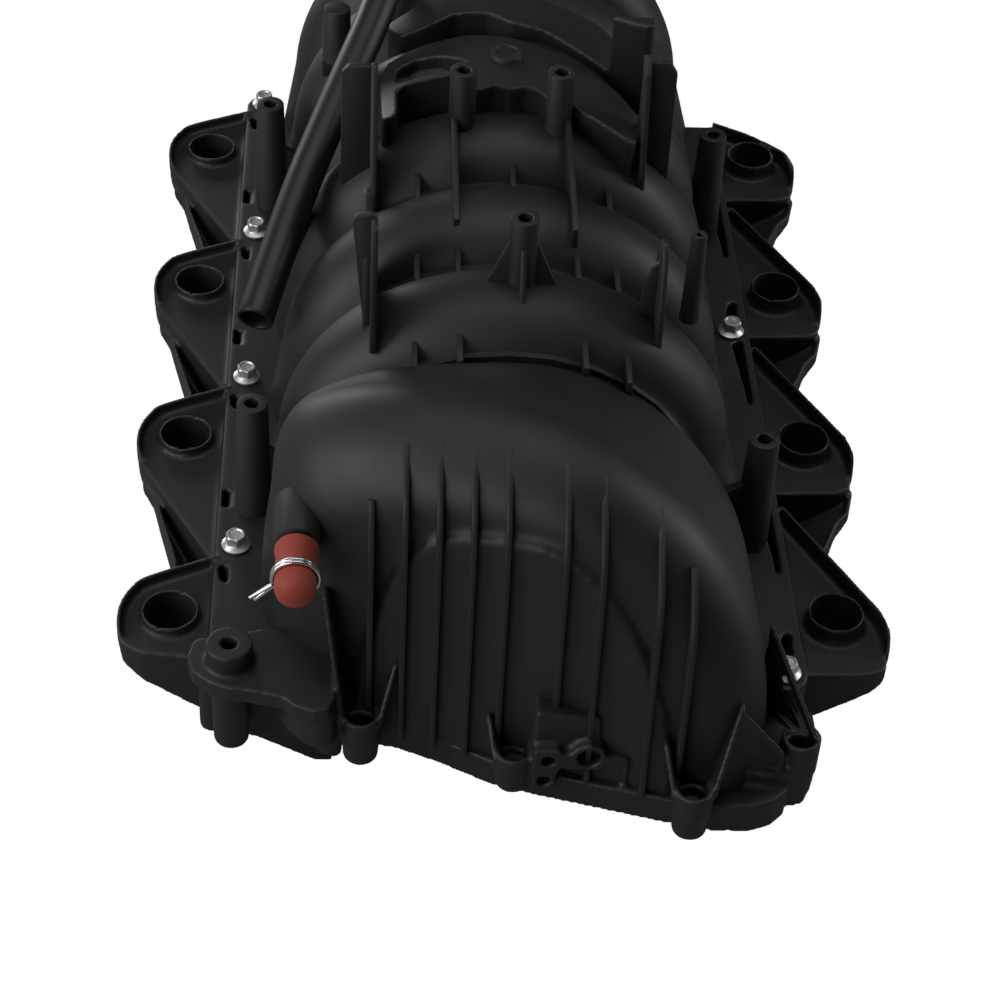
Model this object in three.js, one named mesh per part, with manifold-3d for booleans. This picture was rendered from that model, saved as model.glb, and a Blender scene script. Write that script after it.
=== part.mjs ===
// V8 port-injection intake manifold, moulded in glass-filled nylon and welded from shells.
// Millimetres, +Z up, +Y to the front of the engine (the throttle end), +X to the right bank.
// Heights are counted from the lower edges of the two port flanges, on which the part stands; the
// group is shifted at the end so that the origin lies at the middle of the bottom.
import * as THREE from "three";
import { mergeVertices } from "three/addons/utils/BufferGeometryUtils.js";
import Module from "manifold-3d";

const wasm = await Module();
wasm.setup();

// ---- driving dimensions ----
const boreSpacing = 111.76; // cylinder to cylinder along one bank
const cylindersPerBank = 4;
const endPocketY = 1.5 * boreSpacing; // outermost injector pockets from the middle
const bandPitch = boreSpacing / 2; // runners of the two banks alternate over the top
const gap = 0.3; // between two pieces that touch
const skin = 3.5; // wall of the moulded shells

const faceLowX = 84; // the faces on the cylinder heads start here ...
const faceLowZ = 3;
const faceSlope = Math.PI / 5.85; // ... and climb outwards at this angle
const deckZ = 63; // strips that the fixing bolts go through
const rimZ = 64.2; // raised rims of the ears and injector pockets
const trayZ = 58.5; // floor of the recess in each ear
const headTopZ = 70; // top of a seated bolt

const bandTopZ = 175.3; // crest of the runner roofs at mid length
const bandRise = 0.045; // rise of that crest per millimetre forward
const archWaistZ = 90; // height at which the roof stands upright
const archHalf = 95; // half width there
const archMidX = -2; // the roof leans a little to the left bank
const footHalf = 104; // half width where the roof meets the deck
const bandRound = 16; // how far the rounding of a band runs along Y
const bandDip = 9; // depth of the groove between two bands
const archSteps = 14;

const shellFrontY = endPocketY + 55.36;
const domeFrontY = -2 * bandPitch;
const domeRearY = -endPocketY - 38.36;
const domeRound = 30;
const domeDrop = 24;
const domeLift = 8; // the dome stands this much over the bands
const rearSkew = 0.3; // the rear wall runs back towards the right bank
const skirtZ = 37; // lower edge of the rear wall
const feetZ = 30; // ends of the bolt wells at the rear
const flangeRearY = -endPocketY - 26.36; // left bank; the right bank is the same turned half round

const earX = 161; // outermost edge of the ears
const flangeInX = 72; // inner edge of the port flanges
const stripX = 122.8; // outer edge of the bolt strips
const pocketX = 139.3; // injector pocket centres
const rightPocketShift = 2.8;
const pocketOd = 24;
const pocketBore = 19;
const pocketFloorZ = 50;
const injectorBore = 13.6;

const boltX = 113.9;
const leftBoltShift = 39.3; // forward of its injector pocket
const rightBoltShift = -32.9;
const boltShank = 6;
const boltHeadFlange = 12;
const boltHex = 8;
const boltHexHeight = 5;
const boltTipZ = 8;
const sleeveId = 7.4;
const sleeveOd = 10;

const portX = 94;
const portWide = 22; // across the sloping face
const portLong = 52; // along the engine
const portCorner = 6;
const portShift = 7; // left ports lie this far forward of their injectors
const sealMargin = 1.5;
const sealGroove = 3.4;
const sealWide = sealGroove - 2 * gap;
const sealDepth = 3;
const sealProud = 0.6;

const runnerDepth = 31; // height of the air passage under the roof
const coreSkin = 3;
const plenumFloorZ = 22;
const plenumFloor = 3;

const throttleBore = 88;
const throttleOd = 96;
const throttleZ = 112;
const throttleFlange = 104;
const throttleFlangeThick = 12;
const throttleHolePitch = 81;
const throttleInsertOd = 8.6;
const throttleInsertHole = 5;
const throttleInsertLong = 9;
const neckFrontY = shellFrontY + 39;
const throttleSealOd = 97;

const railPostX = 107;
const railPostOd = 13;
const railPostTopZ = 121.5;
const bossHole = 6;
const topBossOd = 12;
const topBossZ = bandTopZ + 27.7;
const frontBossY = 28;
const frontBossX = 24.5;
const singleBossY = -80;
const towerTopZ = bandTopZ + 34.7;

const capOd = 18.5;
const capWall = 2.4;
const capLong = 27;
const nippleX = -84;
const nippleZ = bandTopZ - 47.3;
const nippleRootY = domeRearY + 36;
const nippleTipY = domeRearY - 16;
const nippleOd = capOd - 2 * capWall - 2 * gap;
const nippleBore = 8;
const clampWire = 1.8;

const pipeOd = 16.4;
const pipeBore = 12.4;

// ---- materials ----
const nylon = { color: 0x1c1c1e, roughness: 0.55, metalness: 0 };
const zincSteel = { color: 0xc9ccd0, roughness: 0.3, metalness: 1 };
const brass = { color: 0xb08d4a, roughness: 0.4, metalness: 1 };
const sealRubber = { color: 0x2a3a2e, roughness: 0.7, metalness: 0 };
const capRubber = { color: 0xa8442f, roughness: 0.6, metalness: 0 };
const springSteel = { color: 0xd4d6d9, roughness: 0.25, metalness: 1 };

// ---- solids ----
function solidOf(geometry) {
  const bare = new THREE.BufferGeometry();
  const source = geometry.index ? geometry.toNonIndexed() : geometry;
  bare.setAttribute("position", source.getAttribute("position"));
  const merged = mergeVertices(bare, 1e-4);
  return new wasm.Manifold(
    new wasm.Mesh({
      numProp: 3,
      vertProperties: merged.attributes.position.array,
      triVerts: new Uint32Array(merged.index.array),
    }),
  );
}

function geometryOf(solid) {
  const mesh = solid.getMesh();
  const points = new Float32Array(mesh.numVert * 3);
  for (let i = 0; i < mesh.numVert; i++) {
    for (let j = 0; j < 3; j++) points[3 * i + j] = mesh.vertProperties[mesh.numProp * i + j];
  }
  const geometry = new THREE.BufferGeometry();
  geometry.setAttribute("position", new THREE.BufferAttribute(points, 3));
  geometry.setIndex(new THREE.BufferAttribute(mesh.triVerts, 1));
  geometry.computeVertexNormals();
  return geometry;
}

const joined = (solids) => solids.reduce((all, next) => all.add(next));

function shapeOf(points) {
  const shape = new THREE.Shape(points.map(([x, y]) => new THREE.Vector2(x, y)));
  return shape;
}

// A prism over an outline in the XY plane.
function upright(points, z0, z1) {
  const geometry = new THREE.ExtrudeGeometry(shapeOf(points), { depth: z1 - z0, bevelEnabled: false });
  return solidOf(geometry.translate(0, 0, z0));
}

// A prism along Y over an outline in the XZ plane, with ends rounded by bevel (size inwards).
function alongY(points, y0, y1, round = 0, dip = 0) {
  const options = { depth: y1 - y0 - 2 * round, bevelEnabled: round > 0 };
  if (round > 0) {
    Object.assign(options, { bevelThickness: round, bevelSize: dip, bevelOffset: -dip, bevelSegments: 2 });
  }
  const geometry = new THREE.ExtrudeGeometry(shapeOf(points), options);
  geometry.rotateX(Math.PI / 2);
  return geometry.translate(0, y1 - round, 0);
}

// A prism across X over an outline in the YZ plane.
function acrossX(points, x0, x1) {
  const geometry = new THREE.ExtrudeGeometry(shapeOf(points), { depth: x1 - x0, bevelEnabled: false });
  geometry.rotateX(Math.PI / 2);
  geometry.rotateZ(Math.PI / 2);
  return solidOf(geometry.translate(x0, 0, 0));
}

function box(x0, x1, y0, y1, z0, z1) {
  const geometry = new THREE.BoxGeometry(x1 - x0, y1 - y0, z1 - z0);
  return solidOf(geometry.translate((x0 + x1) / 2, (y0 + y1) / 2, (z0 + z1) / 2));
}

function post(x, y, z0, z1, d, sides = 20) {
  const geometry = new THREE.CylinderGeometry(d / 2, d / 2, z1 - z0, sides);
  geometry.rotateX(Math.PI / 2);
  return solidOf(geometry.translate(x, y, (z0 + z1) / 2));
}

function rodAlongY(x, z, y0, y1, d, sides = 24) {
  const geometry = new THREE.CylinderGeometry(d / 2, d / 2, y1 - y0, sides);
  return solidOf(geometry.translate(x, (y0 + y1) / 2, z));
}

function rodBetween(from, to, d, sides = 16) {
  const a = new THREE.Vector3(...from);
  const b = new THREE.Vector3(...to);
  const along = b.clone().sub(a);
  const geometry = new THREE.CylinderGeometry(d / 2, d / 2, along.length(), sides);
  const turn = new THREE.Quaternion().setFromUnitVectors(
    new THREE.Vector3(0, 1, 0),
    along.clone().normalize(),
  );
  geometry.applyQuaternion(turn);
  const middle = a.add(b).multiplyScalar(0.5);
  return solidOf(geometry.translate(middle.x, middle.y, middle.z));
}

function roundRect(cx, cy, wide, long, corner, steps = 3) {
  const points = [];
  const centres = [
    [1, 1],
    [-1, 1],
    [-1, -1],
    [1, -1],
  ];
  centres.forEach(([sx, sy], quarter) => {
    for (let i = 0; i <= steps; i++) {
      const angle = ((quarter + i / steps) * Math.PI) / 2;
      points.push([
        cx + sx * (wide / 2 - corner) + corner * Math.cos(angle),
        cy + sy * (long / 2 - corner) + corner * Math.sin(angle),
      ]);
    }
  });
  return points;
}

// Moves each side of an anticlockwise outline inwards by d.
function inset(points, d) {
  const n = points.length;
  const lines = points.map(([x, y], i) => {
    const [nx, ny] = points[(i + 1) % n];
    const length = Math.hypot(nx - x, ny - y);
    const ux = (nx - x) / length;
    const uy = (ny - y) / length;
    return { x: x - uy * d, y: y + ux * d, ux, uy };
  });
  return lines.map((line, i) => {
    const before = lines[(i + n - 1) % n];
    const cross = before.ux * line.uy - before.uy * line.ux;
    if (Math.abs(cross) < 1e-6) return [line.x, line.y];
    const t = ((line.x - before.x) * line.uy - (line.y - before.y) * line.ux) / cross;
    return [before.x + before.ux * t, before.y + before.uy * t];
  });
}

// ---- the roof section, in X and Z, smaller by depth all round ----
function roofOutline(depth, lift = 0, floorZ = deckZ - 30) {
  const points = [[footHalf - depth, floorZ]];
  points.push([footHalf - depth, deckZ]);
  const tall = bandTopZ + lift - archWaistZ - depth;
  for (let i = 0; i <= archSteps; i++) {
    const angle = (i / archSteps) * Math.PI;
    points.push([
      archMidX + (archHalf - depth) * Math.cos(angle),
      archWaistZ + tall * Math.sin(angle),
    ]);
  }
  points.push([depth - footHalf, deckZ]);
  points.push([depth - footHalf, floorZ]);
  return points;
}

// Lifts the roof towards the front, nothing at the deck and all of the rise at the crest.
function risen(geometry) {
  const place = geometry.getAttribute("position");
  for (let i = 0; i < place.count; i++) {
    const share = Math.max(0, (place.getZ(i) - deckZ) / (bandTopZ - deckZ));
    place.setZ(i, place.getZ(i) + bandRise * place.getY(i) * share);
  }
  return geometry;
}

// Slides the rear wall back towards the right bank.
function skewed(geometry) {
  const place = geometry.getAttribute("position");
  for (let i = 0; i < place.count; i++) {
    const share = Math.min(1, Math.max(0, (domeFrontY - bandRound - place.getY(i)) / 40));
    place.setY(i, place.getY(i) - rearSkew * (place.getX(i) + 30) * share);
  }
  return geometry;
}

const roofPiece = (depth, y0, y1, round, dip, lift = 0) =>
  solidOf(risen(alongY(roofOutline(depth, lift), y0, y1, round, dip)));

const domePiece = (depth, y0, y1, round, dip) =>
  solidOf(skewed(risen(alongY(roofOutline(depth, domeLift, skirtZ - 20), y0, y1, round, dip))));

function crestZ(x, y) {
  const share = Math.sqrt(Math.max(0, 1 - ((x - archMidX) / archHalf) ** 2));
  return archWaistZ + (bandTopZ - archWaistZ) * share + bandRise * y * share;
}

// ---- places that repeat ----
const bank = [...Array(cylindersPerBank).keys()].map((k) => (1.5 - k) * boreSpacing);
const pockets = {
  left: bank.map((y) => [-pocketX, y]),
  right: bank.map((y) => [pocketX, y + rightPocketShift]),
};
const bolts = {
  left: bank.map((y) => [-boltX, y + leftBoltShift]),
  right: bank.map((y) => [boltX, y + rightBoltShift]),
};
const ports = {
  left: bank.map((y) => [-portX, y + portShift]),
  right: bank.map((y) => [portX, y + rightPocketShift - portShift]),
};
const cornerBoss = { x: -113, y: domeRearY + 4, top: deckZ + 17, foot: 33, d: 19, hole: 6.6, plate: 8 };
const wells = [
  [-60, domeRearY - 15],
  [2, domeRearY - 28],
  [72, domeRearY - 48],
];
const sideWell = [117, domeRearY - 25]; // the fourth well stands beyond the right flange
const railPosts = [
  [-railPostX, bank[0] - 47],
  [-railPostX, bank[2] - 47],
  [railPostX, bank[0] - 65],
  [railPostX, bank[2] - 65],
];
const topBosses = [
  [-frontBossX + 6, frontBossY],
  [frontBossX, frontBossY],
  [4, singleBossY],
];
const rearRibX = [-57, -44, -31, -18, -5, 17, 31, 53, 66];
const far = 400;

// ---- upper shell: runner roofs, rear dome, bosses, fins and bolt wells ----
function topBossSolids() {
  return topBosses.flatMap(([x, y]) => {
    const base = crestZ(x, y) - bandDip;
    const web = [[-16, base], [16, base], [4, topBossZ - 9], [-4, topBossZ - 9]];
    return [
      post(x, y, base, topBossZ, topBossOd, 14),
      acrossX(web.map(([d, z]) => [y + d, z]), x - 1.5, x + 1.5),
      solidOf(alongY(web.map(([d, z]) => [x + d, z]), y - 1.5, y + 1.5)),
    ];
  });
}

// Platform in front of the boss pair, with a locating disc.
function platformSolids() {
  const [[leftX], [rightX]] = topBosses;
  const backY = frontBossY + 2;
  return [
    box(leftX - 4, rightX + 4, backY, backY + 50, bandTopZ - 14, bandTopZ + 5),
    post((leftX + rightX) / 2, backY + 36, bandTopZ, bandTopZ + 7, 14, 14),
  ];
}

// Upright plates that carry the pipe and the wiring.
function finSolids() {
  const plate = 3.5;
  const low = towerTopZ - 82;
  const leftBlade = [[-104, low + 6], [-52, low + 14], [-52, low + 60], [-70, low + 60], [-104, low + 34]];
  return [
    box(-71, -57, 18, 18 + plate, crestZ(-71, 18) - 10, towerTopZ),
    box(-57 - plate, -57, 18, 34, crestZ(-57, 18) - 10, towerTopZ),
    box(-52, -49, 12, 32, crestZ(-52, 18) - 10, towerTopZ - 10),
    box(62, 78, 34, 34 + plate, crestZ(78, 34) - 10, towerTopZ - 3),
    box(60, 60 + plate, 20, 34 + plate, crestZ(63, 34) - 10, towerTopZ - 8),
    acrossX(leftBlade, -61, -61 + plate),
    post(-46, 148, crestZ(-46, 148) - 10, low + 54.4, 14, 12),
    acrossX([[-92, low], [-52, low + 8], [-56, low + 54], [-72, low + 60], [-92, low + 44]], 60, 60 + plate),
  ];
}

function railPostSolids() {
  return railPosts.flatMap(([x, y]) => {
    const inner = Math.sign(x) * 84;
    return [
      post(x, y, deckZ + gap, railPostTopZ, railPostOd, 14),
      box(Math.min(x, inner), Math.max(x, inner), y - 2, y + 2, deckZ + gap, railPostTopZ - 6),
    ];
  });
}

// Funnel-shaped wells give the rear bolts a way in from behind.
function wellSolids() {
  const low = skirtZ + 8;
  const high = skirtZ + 70;
  const solids = wells.flatMap(([x, y]) => {
    const funnel = [[x - 10, skirtZ - 1], [x + 10, skirtZ - 1], [x + 13, high], [x - 13, high]];
    return [solidOf(alongY(funnel, y - 2, domeRearY + 12)), post(x, y, skirtZ - 1, low + 2, 19, 14)];
  });
  const hollows = wells.flatMap(([x, y]) => {
    const slot = [[x - 5.5, low], [x + 5.5, low], [x + 10, high + 5], [x - 10, high + 5]];
    const mouth = [[y - 12, low], [y - 3, low], [y + 12, high + 5], [y - 40, high + 5]];
    const reach = Math.min(y + 8, domeRearY - 6);
    return [solidOf(alongY(slot, y - 12, reach)), acrossX(mouth, x - 15, x + 15)];
  });
  const [x, y] = sideWell;
  const wall = [[84, skirtZ - 1], [x + 9, skirtZ - 1], [x + 9, low + 12], [x - 8, high - 8], [84, high]];
  const back = [[y - 6, skirtZ - 1], [y + 9, skirtZ - 1], [y + 14, high], [y + 5, high]];
  solids.push(solidOf(alongY(wall, y - 12, y + 14)).intersect(acrossX(back, 60, x + 12)));
  solids.push(post(x, y, skirtZ - 1, low + 8, 18, 14));
  hollows.push(post(x, y, low, high + 5, 11, 12));
  return { solids, hollows };
}

function rearRibs() {
  return rearRibX.map((x) => {
    const back = domeRearY - rearSkew * (x + 30);
    const top = bandTopZ - 13 - 26 * ((x + 3) / 62) ** 2;
    const profile = [
      [back + 24, skirtZ + 8],
      [back - 4, skirtZ + 8],
      [back - 4, top - 34],
      [back + 8, top - 8],
      [back + 24, top],
    ];
    return acrossX(profile, x - 1.3, x + 1.3);
  });
}

function upperShell() {
  const outer = [roofPiece(bandDip, domeFrontY - 20, shellFrontY, 0, 0)];
  for (let y = domeFrontY; y < shellFrontY - 1; y += bandPitch) {
    outer.push(roofPiece(0, y + 2, Math.min(y + bandPitch, shellFrontY) - 2, bandRound, bandDip));
  }
  outer.push(roofPiece(0, domeFrontY - 80, domeFrontY - 2, bandRound, bandDip, domeLift));
  outer.push(domePiece(0, domeRearY, domeFrontY - 22, domeRound, domeDrop));
  outer.push(...topBossSolids(), ...platformSolids(), ...finSolids(), ...rearRibs());
  const { solids, hollows } = wellSolids();
  let shell = joined([...outer, ...solids]);
  for (const hollow of hollows) shell = shell.subtract(hollow);
  shell = shell.add(rodAlongY(nippleX, nippleZ, nippleTipY, nippleRootY, nippleOd, 16));
  shell = shell.subtract(box(-far, far, flangeRearY - gap, far, -far, deckZ + gap));
  shell = shell.subtract(box(-far, far, -far, far, -far, skirtZ));
  shell = shell.add(joined(railPostSolids()));
  const depth = bandDip + skin;
  shell = shell.subtract(roofPiece(depth, domeFrontY - 40, shellFrontY - skin, 0, 0));
  shell = shell.subtract(domePiece(depth, domeRearY + skin, domeFrontY - 30, domeRound, domeDrop - bandDip));
  shell = shell.subtract(rodAlongY(nippleX, nippleZ, nippleTipY - 1, nippleRootY + 10, nippleBore, 10));
  for (const [x, y] of railPosts) {
    shell = shell.subtract(post(x, y, railPostTopZ - 18, railPostTopZ + 1, bossHole, 12));
  }
  for (const [x, y] of topBosses) {
    shell = shell.subtract(post(x, y, topBossZ - 16, topBossZ + 1, bossHole, 12));
  }
  return shell.subtract(rodAlongY(0, throttleZ, shellFrontY - 20, shellFrontY + 1, throttleBore, 24));
}

// ---- runner core: inner arch and dividers ----
// Each runner starts from the plenum on the side opposite to its port.
function runnerStarts(rearY, frontY) {
  const starts = [];
  let side = 1;
  for (let y = domeFrontY + bandPitch / 2; y < frontY; y += bandPitch) {
    starts.push([side, y]);
    side = -side;
  }
  return starts;
}

function runnerCore() {
  const outDepth = bandDip + skin + 2 * gap;
  const inDepth = outDepth + runnerDepth;
  const rearY = domeFrontY - coreSkin / 2;
  const frontY = shellFrontY - skin - gap - 10;
  const parts = [roofPiece(inDepth, rearY, frontY, 0, 0)];
  for (let y = domeFrontY; y < frontY; y += bandPitch) {
    parts.push(roofPiece(outDepth, y - coreSkin / 2, y + coreSkin / 2, 0, 0));
  }
  let core = joined(parts).subtract(roofPiece(inDepth + coreSkin, rearY - 1, frontY + 1, 0, 0));
  const half = bandPitch / 2 - 6;
  for (const [side, y] of runnerStarts(rearY, frontY)) {
    const x0 = side > 0 ? 30 : -80;
    core = core.subtract(box(x0, x0 + 50, y - half, y + half, deckZ + 10, archWaistZ + 12));
  }
  return core.subtract(box(-far, far, -far, far, -far, deckZ + 2 * gap));
}

// ---- port flanges with their ears ----
// Outline of an ear round a left-bank pocket at [0, 0], anticlockwise from above.
function earOutline(rearmost, lap) {
  const r = earX - pocketX;
  const round = [0.68, 0.79, 0.9, 1.01].map((turn) => [
    -pocketX + r * Math.cos(turn * Math.PI),
    r * Math.sin(turn * Math.PI),
  ]);
  const rear = rearmost
    ? [[-earX + 3, -17], [-stripX + lap, -24]]
    : [[-earX + 2, -13], [-stripX + lap, -74]];
  return [[-stripX + lap, 32.5], ...round, ...rear];
}

// The right bank is the left one turned half round: its rearmost ear is a full one.
function earPoints(side, k, lap = 0) {
  const [, y] = pockets[side][k];
  if (side === "left") return earOutline(k === cylindersPerBank - 1, lap).map(([x, dy]) => [x, y + dy]);
  return earOutline(k === 0, lap).map(([x, dy]) => [-x, y - dy]);
}

function faceZ(x) {
  return faceLowZ + Math.tan(faceSlope) * (Math.abs(x) - faceLowX);
}

// Takes a prism made about the origin, and lays it on the sloping face with its +Z into the flange.
function onFace(geometry, [x, y]) {
  geometry.rotateY(x < 0 ? faceSlope : -faceSlope);
  return solidOf(geometry.translate(x, y, faceZ(x)));
}

function slab(wide, long, corner, z0, z1) {
  const points = roundRect(0, 0, wide, long, corner, 1);
  const geometry = new THREE.ExtrudeGeometry(shapeOf(points), { depth: z1 - z0, bevelEnabled: false });
  return geometry.translate(0, 0, z0);
}

function flangeSection(side) {
  const sign = side === "left" ? -1 : 1;
  const outerX = earX + 10;
  const points = [
    [flangeInX, deckZ],
    [flangeInX, faceLowZ + 9],
    [faceLowX - 8, 0],
    [faceLowX - faceLowZ / Math.tan(faceSlope), 0],
    [outerX, faceZ(outerX)],
    [outerX, deckZ],
  ];
  const turned = points.map(([x, z]) => [sign * x, z]);
  return side === "left" ? turned : turned.reverse();
}

function flange(side) {
  const sign = side === "left" ? -1 : 1;
  const rearY = side === "left" ? flangeRearY : flangeRearY + 2;
  const frontY = side === "left" ? -flangeRearY : -flangeRearY + 2;
  const xs = [sign * flangeInX, sign * stripX].sort((a, b) => a - b);
  const plan = [box(xs[0], xs[1], rearY, frontY, 0, deckZ)];
  for (let k = 0; k < cylindersPerBank; k++) plan.push(upright(earPoints(side, k, 1), 0, rimZ));
  // the outermost bolt sits in a lug beyond the end of the flange
  const [lugX, lugY] = side === "left" ? bolts.left[0] : bolts.right[cylindersPerBank - 1];
  plan.push(post(lugX, lugY, 0, deckZ, sleeveOd + 8, 14));
  plan.push(box(lugX - 9, lugX + 9, ...[lugY, lugY * 0.94].sort((a, b) => a - b), 0, deckZ));
  const section = flangeSection(side).map(([x, z]) => [x, z === deckZ ? rimZ + 1 : z]);
  let body = joined(plan).intersect(solidOf(alongY(section, rearY - 10, frontY + 10)));
  pockets[side].forEach(([x, y], k) => {
    const outline = inset(earPoints(side, k), 2.6);
    body = body.subtract(upright(outline, trayZ, rimZ + 1).subtract(post(x, y, 0, rimZ + 2, pocketOd, 16)));
    body = body.subtract(upright(outline, -1, trayZ - skin).subtract(post(x, y, 0, far, pocketOd + 2, 10)));
  });
  if (side === "left") {
    const { x, y, top, foot, d, hole, plate } = cornerBoss;
    const plateTop = top - 10;
    body = body.add(box(x - 8, x + 8, y - 4, flangeRearY + 6, plateTop - plate - 6, deckZ));
    body = body.add(post(x, y, foot, top, d, 16)).subtract(post(x, y, foot - 1, top + 1, hole, 12));
  }
  for (const [x, y] of bolts[side]) {
    body = body.subtract(post(x, y, -1, deckZ + 20, sleeveOd + 2 * gap, 12));
  }
  for (const port of ports[side]) {
    const [x, y] = port;
    body = body.subtract(onFace(slab(portWide, portLong, portCorner, -2, 16), port));
    const middle = sign * (flangeInX + 4 + (archHalf - flangeInX) / 2 - 2);
    body = body.subtract(upright(roundRect(middle, y, 17, portLong, portCorner, 1), faceZ(x) + 4, deckZ + 2));
    const wide = portWide + 2 * sealMargin;
    const long = portLong + 2 * sealMargin;
    const corner = portCorner + sealMargin;
    const outer = slab(wide + 2 * sealGroove, long + 2 * sealGroove, corner + sealGroove, -1, sealDepth);
    const inner = slab(wide, long, corner, -2, sealDepth + 1);
    body = body.subtract(onFace(outer, port).subtract(onFace(inner, port)));
  }
  for (const [x, y] of pockets[side]) {
    body = body.subtract(post(x, y, pocketFloorZ, rimZ + 1, pocketBore, 16));
    const portEnd = [sign * (portX + 3), y, faceZ(portX) + 12];
    body = body.subtract(rodBetween([x, y, pocketFloorZ + 2], portEnd, injectorBore, 8));
  }
  return body;
}

// ---- lower shell: plenum floor, its walls and the rear feet ----
const rearFlange = [
  [-92, domeRearY + 6],
  [-74, domeRearY - 16],
  [-60, domeRearY - 24],
  [-46, domeRearY - 14],
  [-12, domeRearY - 30],
  [16, domeRearY - 35],
  [58, domeRearY - 46],
  [72, domeRearY - 55],
  [96, domeRearY - 45],
  [112, domeRearY - 36],
  [126, domeRearY - 28],
  [124, domeRearY - 16],
  [104, domeRearY - 8],
  [100, domeRearY + 6],
];

function lowerShell() {
  const halfX = flangeInX - gap;
  const wallY = flangeRearY + 4;
  let body = box(-halfX, halfX, wallY, shellFrontY, plenumFloorZ, deckZ);
  const floorZ = plenumFloorZ + plenumFloor;
  body = body.subtract(box(-halfX + skin, halfX - skin, wallY + skin, shellFrontY - skin, floorZ, deckZ + 5));
  const neck = [[halfX, wallY + 1], [-halfX, wallY + 1], [-halfX, flangeRearY - 3]];
  const line = [...neck, ...rearFlange, [halfX, flangeRearY - 3]];
  body = body.add(upright(line, skirtZ - 7, skirtZ - gap));
  const feet = [...wells, sideWell];
  for (const [x, y] of feet) body = body.add(post(x, y, feetZ - 3, skirtZ - gap, 15, 14));
  for (const [x, y] of feet) body = body.subtract(post(x, y, feetZ - 4, skirtZ + 1, 6.6, 10));
  // long ribs stiffen the floor from below
  for (const x of [-40, 0, 40]) {
    body = body.add(box(x - 1.5, x + 1.5, wallY + 4, shellFrontY - 4, plenumFloorZ - 6, plenumFloorZ + 1));
  }
  return body;
}

// ---- throttle end ----
const throttleHoles = [[1, 1], [1, -1], [-1, 1], [-1, -1]].map(([sx, sz]) => [
  (sx * throttleHolePitch) / 2,
  throttleZ + (sz * throttleHolePitch) / 2,
]);

function throttleFlangeSolid() {
  const backY = shellFrontY + gap;
  let body = rodAlongY(0, throttleZ, backY, neckFrontY, throttleOd, 28);
  const plate = roundRect(0, throttleZ, throttleFlange, throttleFlange, 10, 2);
  body = body.add(solidOf(alongY(plate, neckFrontY - throttleFlangeThick, neckFrontY)));
  body = body.add(solidOf(alongY(roundRect(0, throttleZ, 116, throttleFlange, 12, 2), backY, backY + 5)));
  body = body.subtract(rodAlongY(0, throttleZ, backY - 1, neckFrontY + 1, throttleBore, 24));
  const groove = rodAlongY(0, throttleZ, neckFrontY - sealDepth, neckFrontY + 1, throttleSealOd, 24);
  const keepOd = throttleSealOd - 2 * sealGroove;
  body = body.subtract(groove.subtract(rodAlongY(0, throttleZ, backY, neckFrontY + 2, keepOd, 24)));
  for (const [x, z] of throttleHoles) {
    const y0 = neckFrontY - throttleInsertLong - gap;
    body = body.subtract(rodAlongY(x, z, y0, neckFrontY + 1, throttleInsertOd + 2 * gap, 12));
  }
  return body;
}

function throttleInsert([x, z]) {
  const y0 = neckFrontY - throttleInsertLong;
  const body = rodAlongY(x, z, y0, neckFrontY - gap, throttleInsertOd, 12);
  return body.subtract(rodAlongY(x, z, y0 - 1, neckFrontY + 1, throttleInsertHole, 10));
}

function throttleSeal() {
  const y0 = neckFrontY - sealDepth + gap;
  const od = throttleSealOd - 2 * gap;
  const ring = rodAlongY(0, throttleZ, y0, neckFrontY + sealProud, od, 24);
  return ring.subtract(rodAlongY(0, throttleZ, y0 - 1, neckFrontY + 2, od - 2 * sealWide, 24));
}

// ---- seals, bolts and sleeves ----
function portSeal(port) {
  const wide = portWide + 2 * sealMargin + 2 * gap;
  const long = portLong + 2 * sealMargin + 2 * gap;
  const corner = portCorner + sealMargin + gap;
  const outer = slab(wide + 2 * sealWide, long + 2 * sealWide, corner + sealWide, -sealProud, sealDepth - gap);
  return onFace(outer, port).subtract(onFace(slab(wide, long, corner, -sealProud - 1, sealDepth), port));
}

function boltSleeve([x, y]) {
  const body = post(x, y, faceZ(boltX) + sleeveOd / 2, deckZ + gap, sleeveOd, 12);
  return body.subtract(post(x, y, 0, deckZ + 2, sleeveId, 10));
}

function fixingBolt([x, y]) {
  const seatZ = deckZ + 2 * gap;
  const hexZ = headTopZ - boltHexHeight;
  const profile = [
    [0, boltTipZ],
    [boltShank / 2 - 0.8, boltTipZ],
    [boltShank / 2, boltTipZ + 1],
    [boltShank / 2, seatZ],
    [boltHeadFlange / 2, seatZ],
    [boltHeadFlange / 2, seatZ + 0.8],
    [boltHex / 2 - 0.2, hexZ + 0.8],
    [0, hexZ + 0.8],
  ];
  const turned = new THREE.LatheGeometry(profile.map(([r, z]) => new THREE.Vector2(r, z)), 12);
  const hex = new THREE.CylinderGeometry(boltHex / Math.sqrt(3), boltHex / Math.sqrt(3), boltHexHeight, 6);
  turned.rotateX(Math.PI / 2);
  hex.rotateX(Math.PI / 2);
  hex.translate(x, y, headTopZ - boltHexHeight / 2);
  return solidOf(turned.translate(x, y, 0)).add(solidOf(hex));
}

// ---- vacuum nipple cap and its wire clamp ----
function vacuumCap() {
  const mouthY = nippleTipY + capLong - 6;
  const outR = capOd / 2;
  const inR = outR - capWall;
  const endY = nippleTipY - gap - capWall;
  const profile = [
    [0, endY],
    [outR * 0.5, endY + 0.6],
    [outR * 0.85, endY + 2.6],
    [outR, endY + 6],
    [outR, mouthY],
    [inR, mouthY],
    [inR, nippleTipY - gap],
    [0, nippleTipY - gap],
  ];
  const lathe = new THREE.LatheGeometry(profile.map(([r, y]) => new THREE.Vector2(r, y)), 20);
  return solidOf(lathe.translate(nippleX, 0, nippleZ));
}

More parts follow.
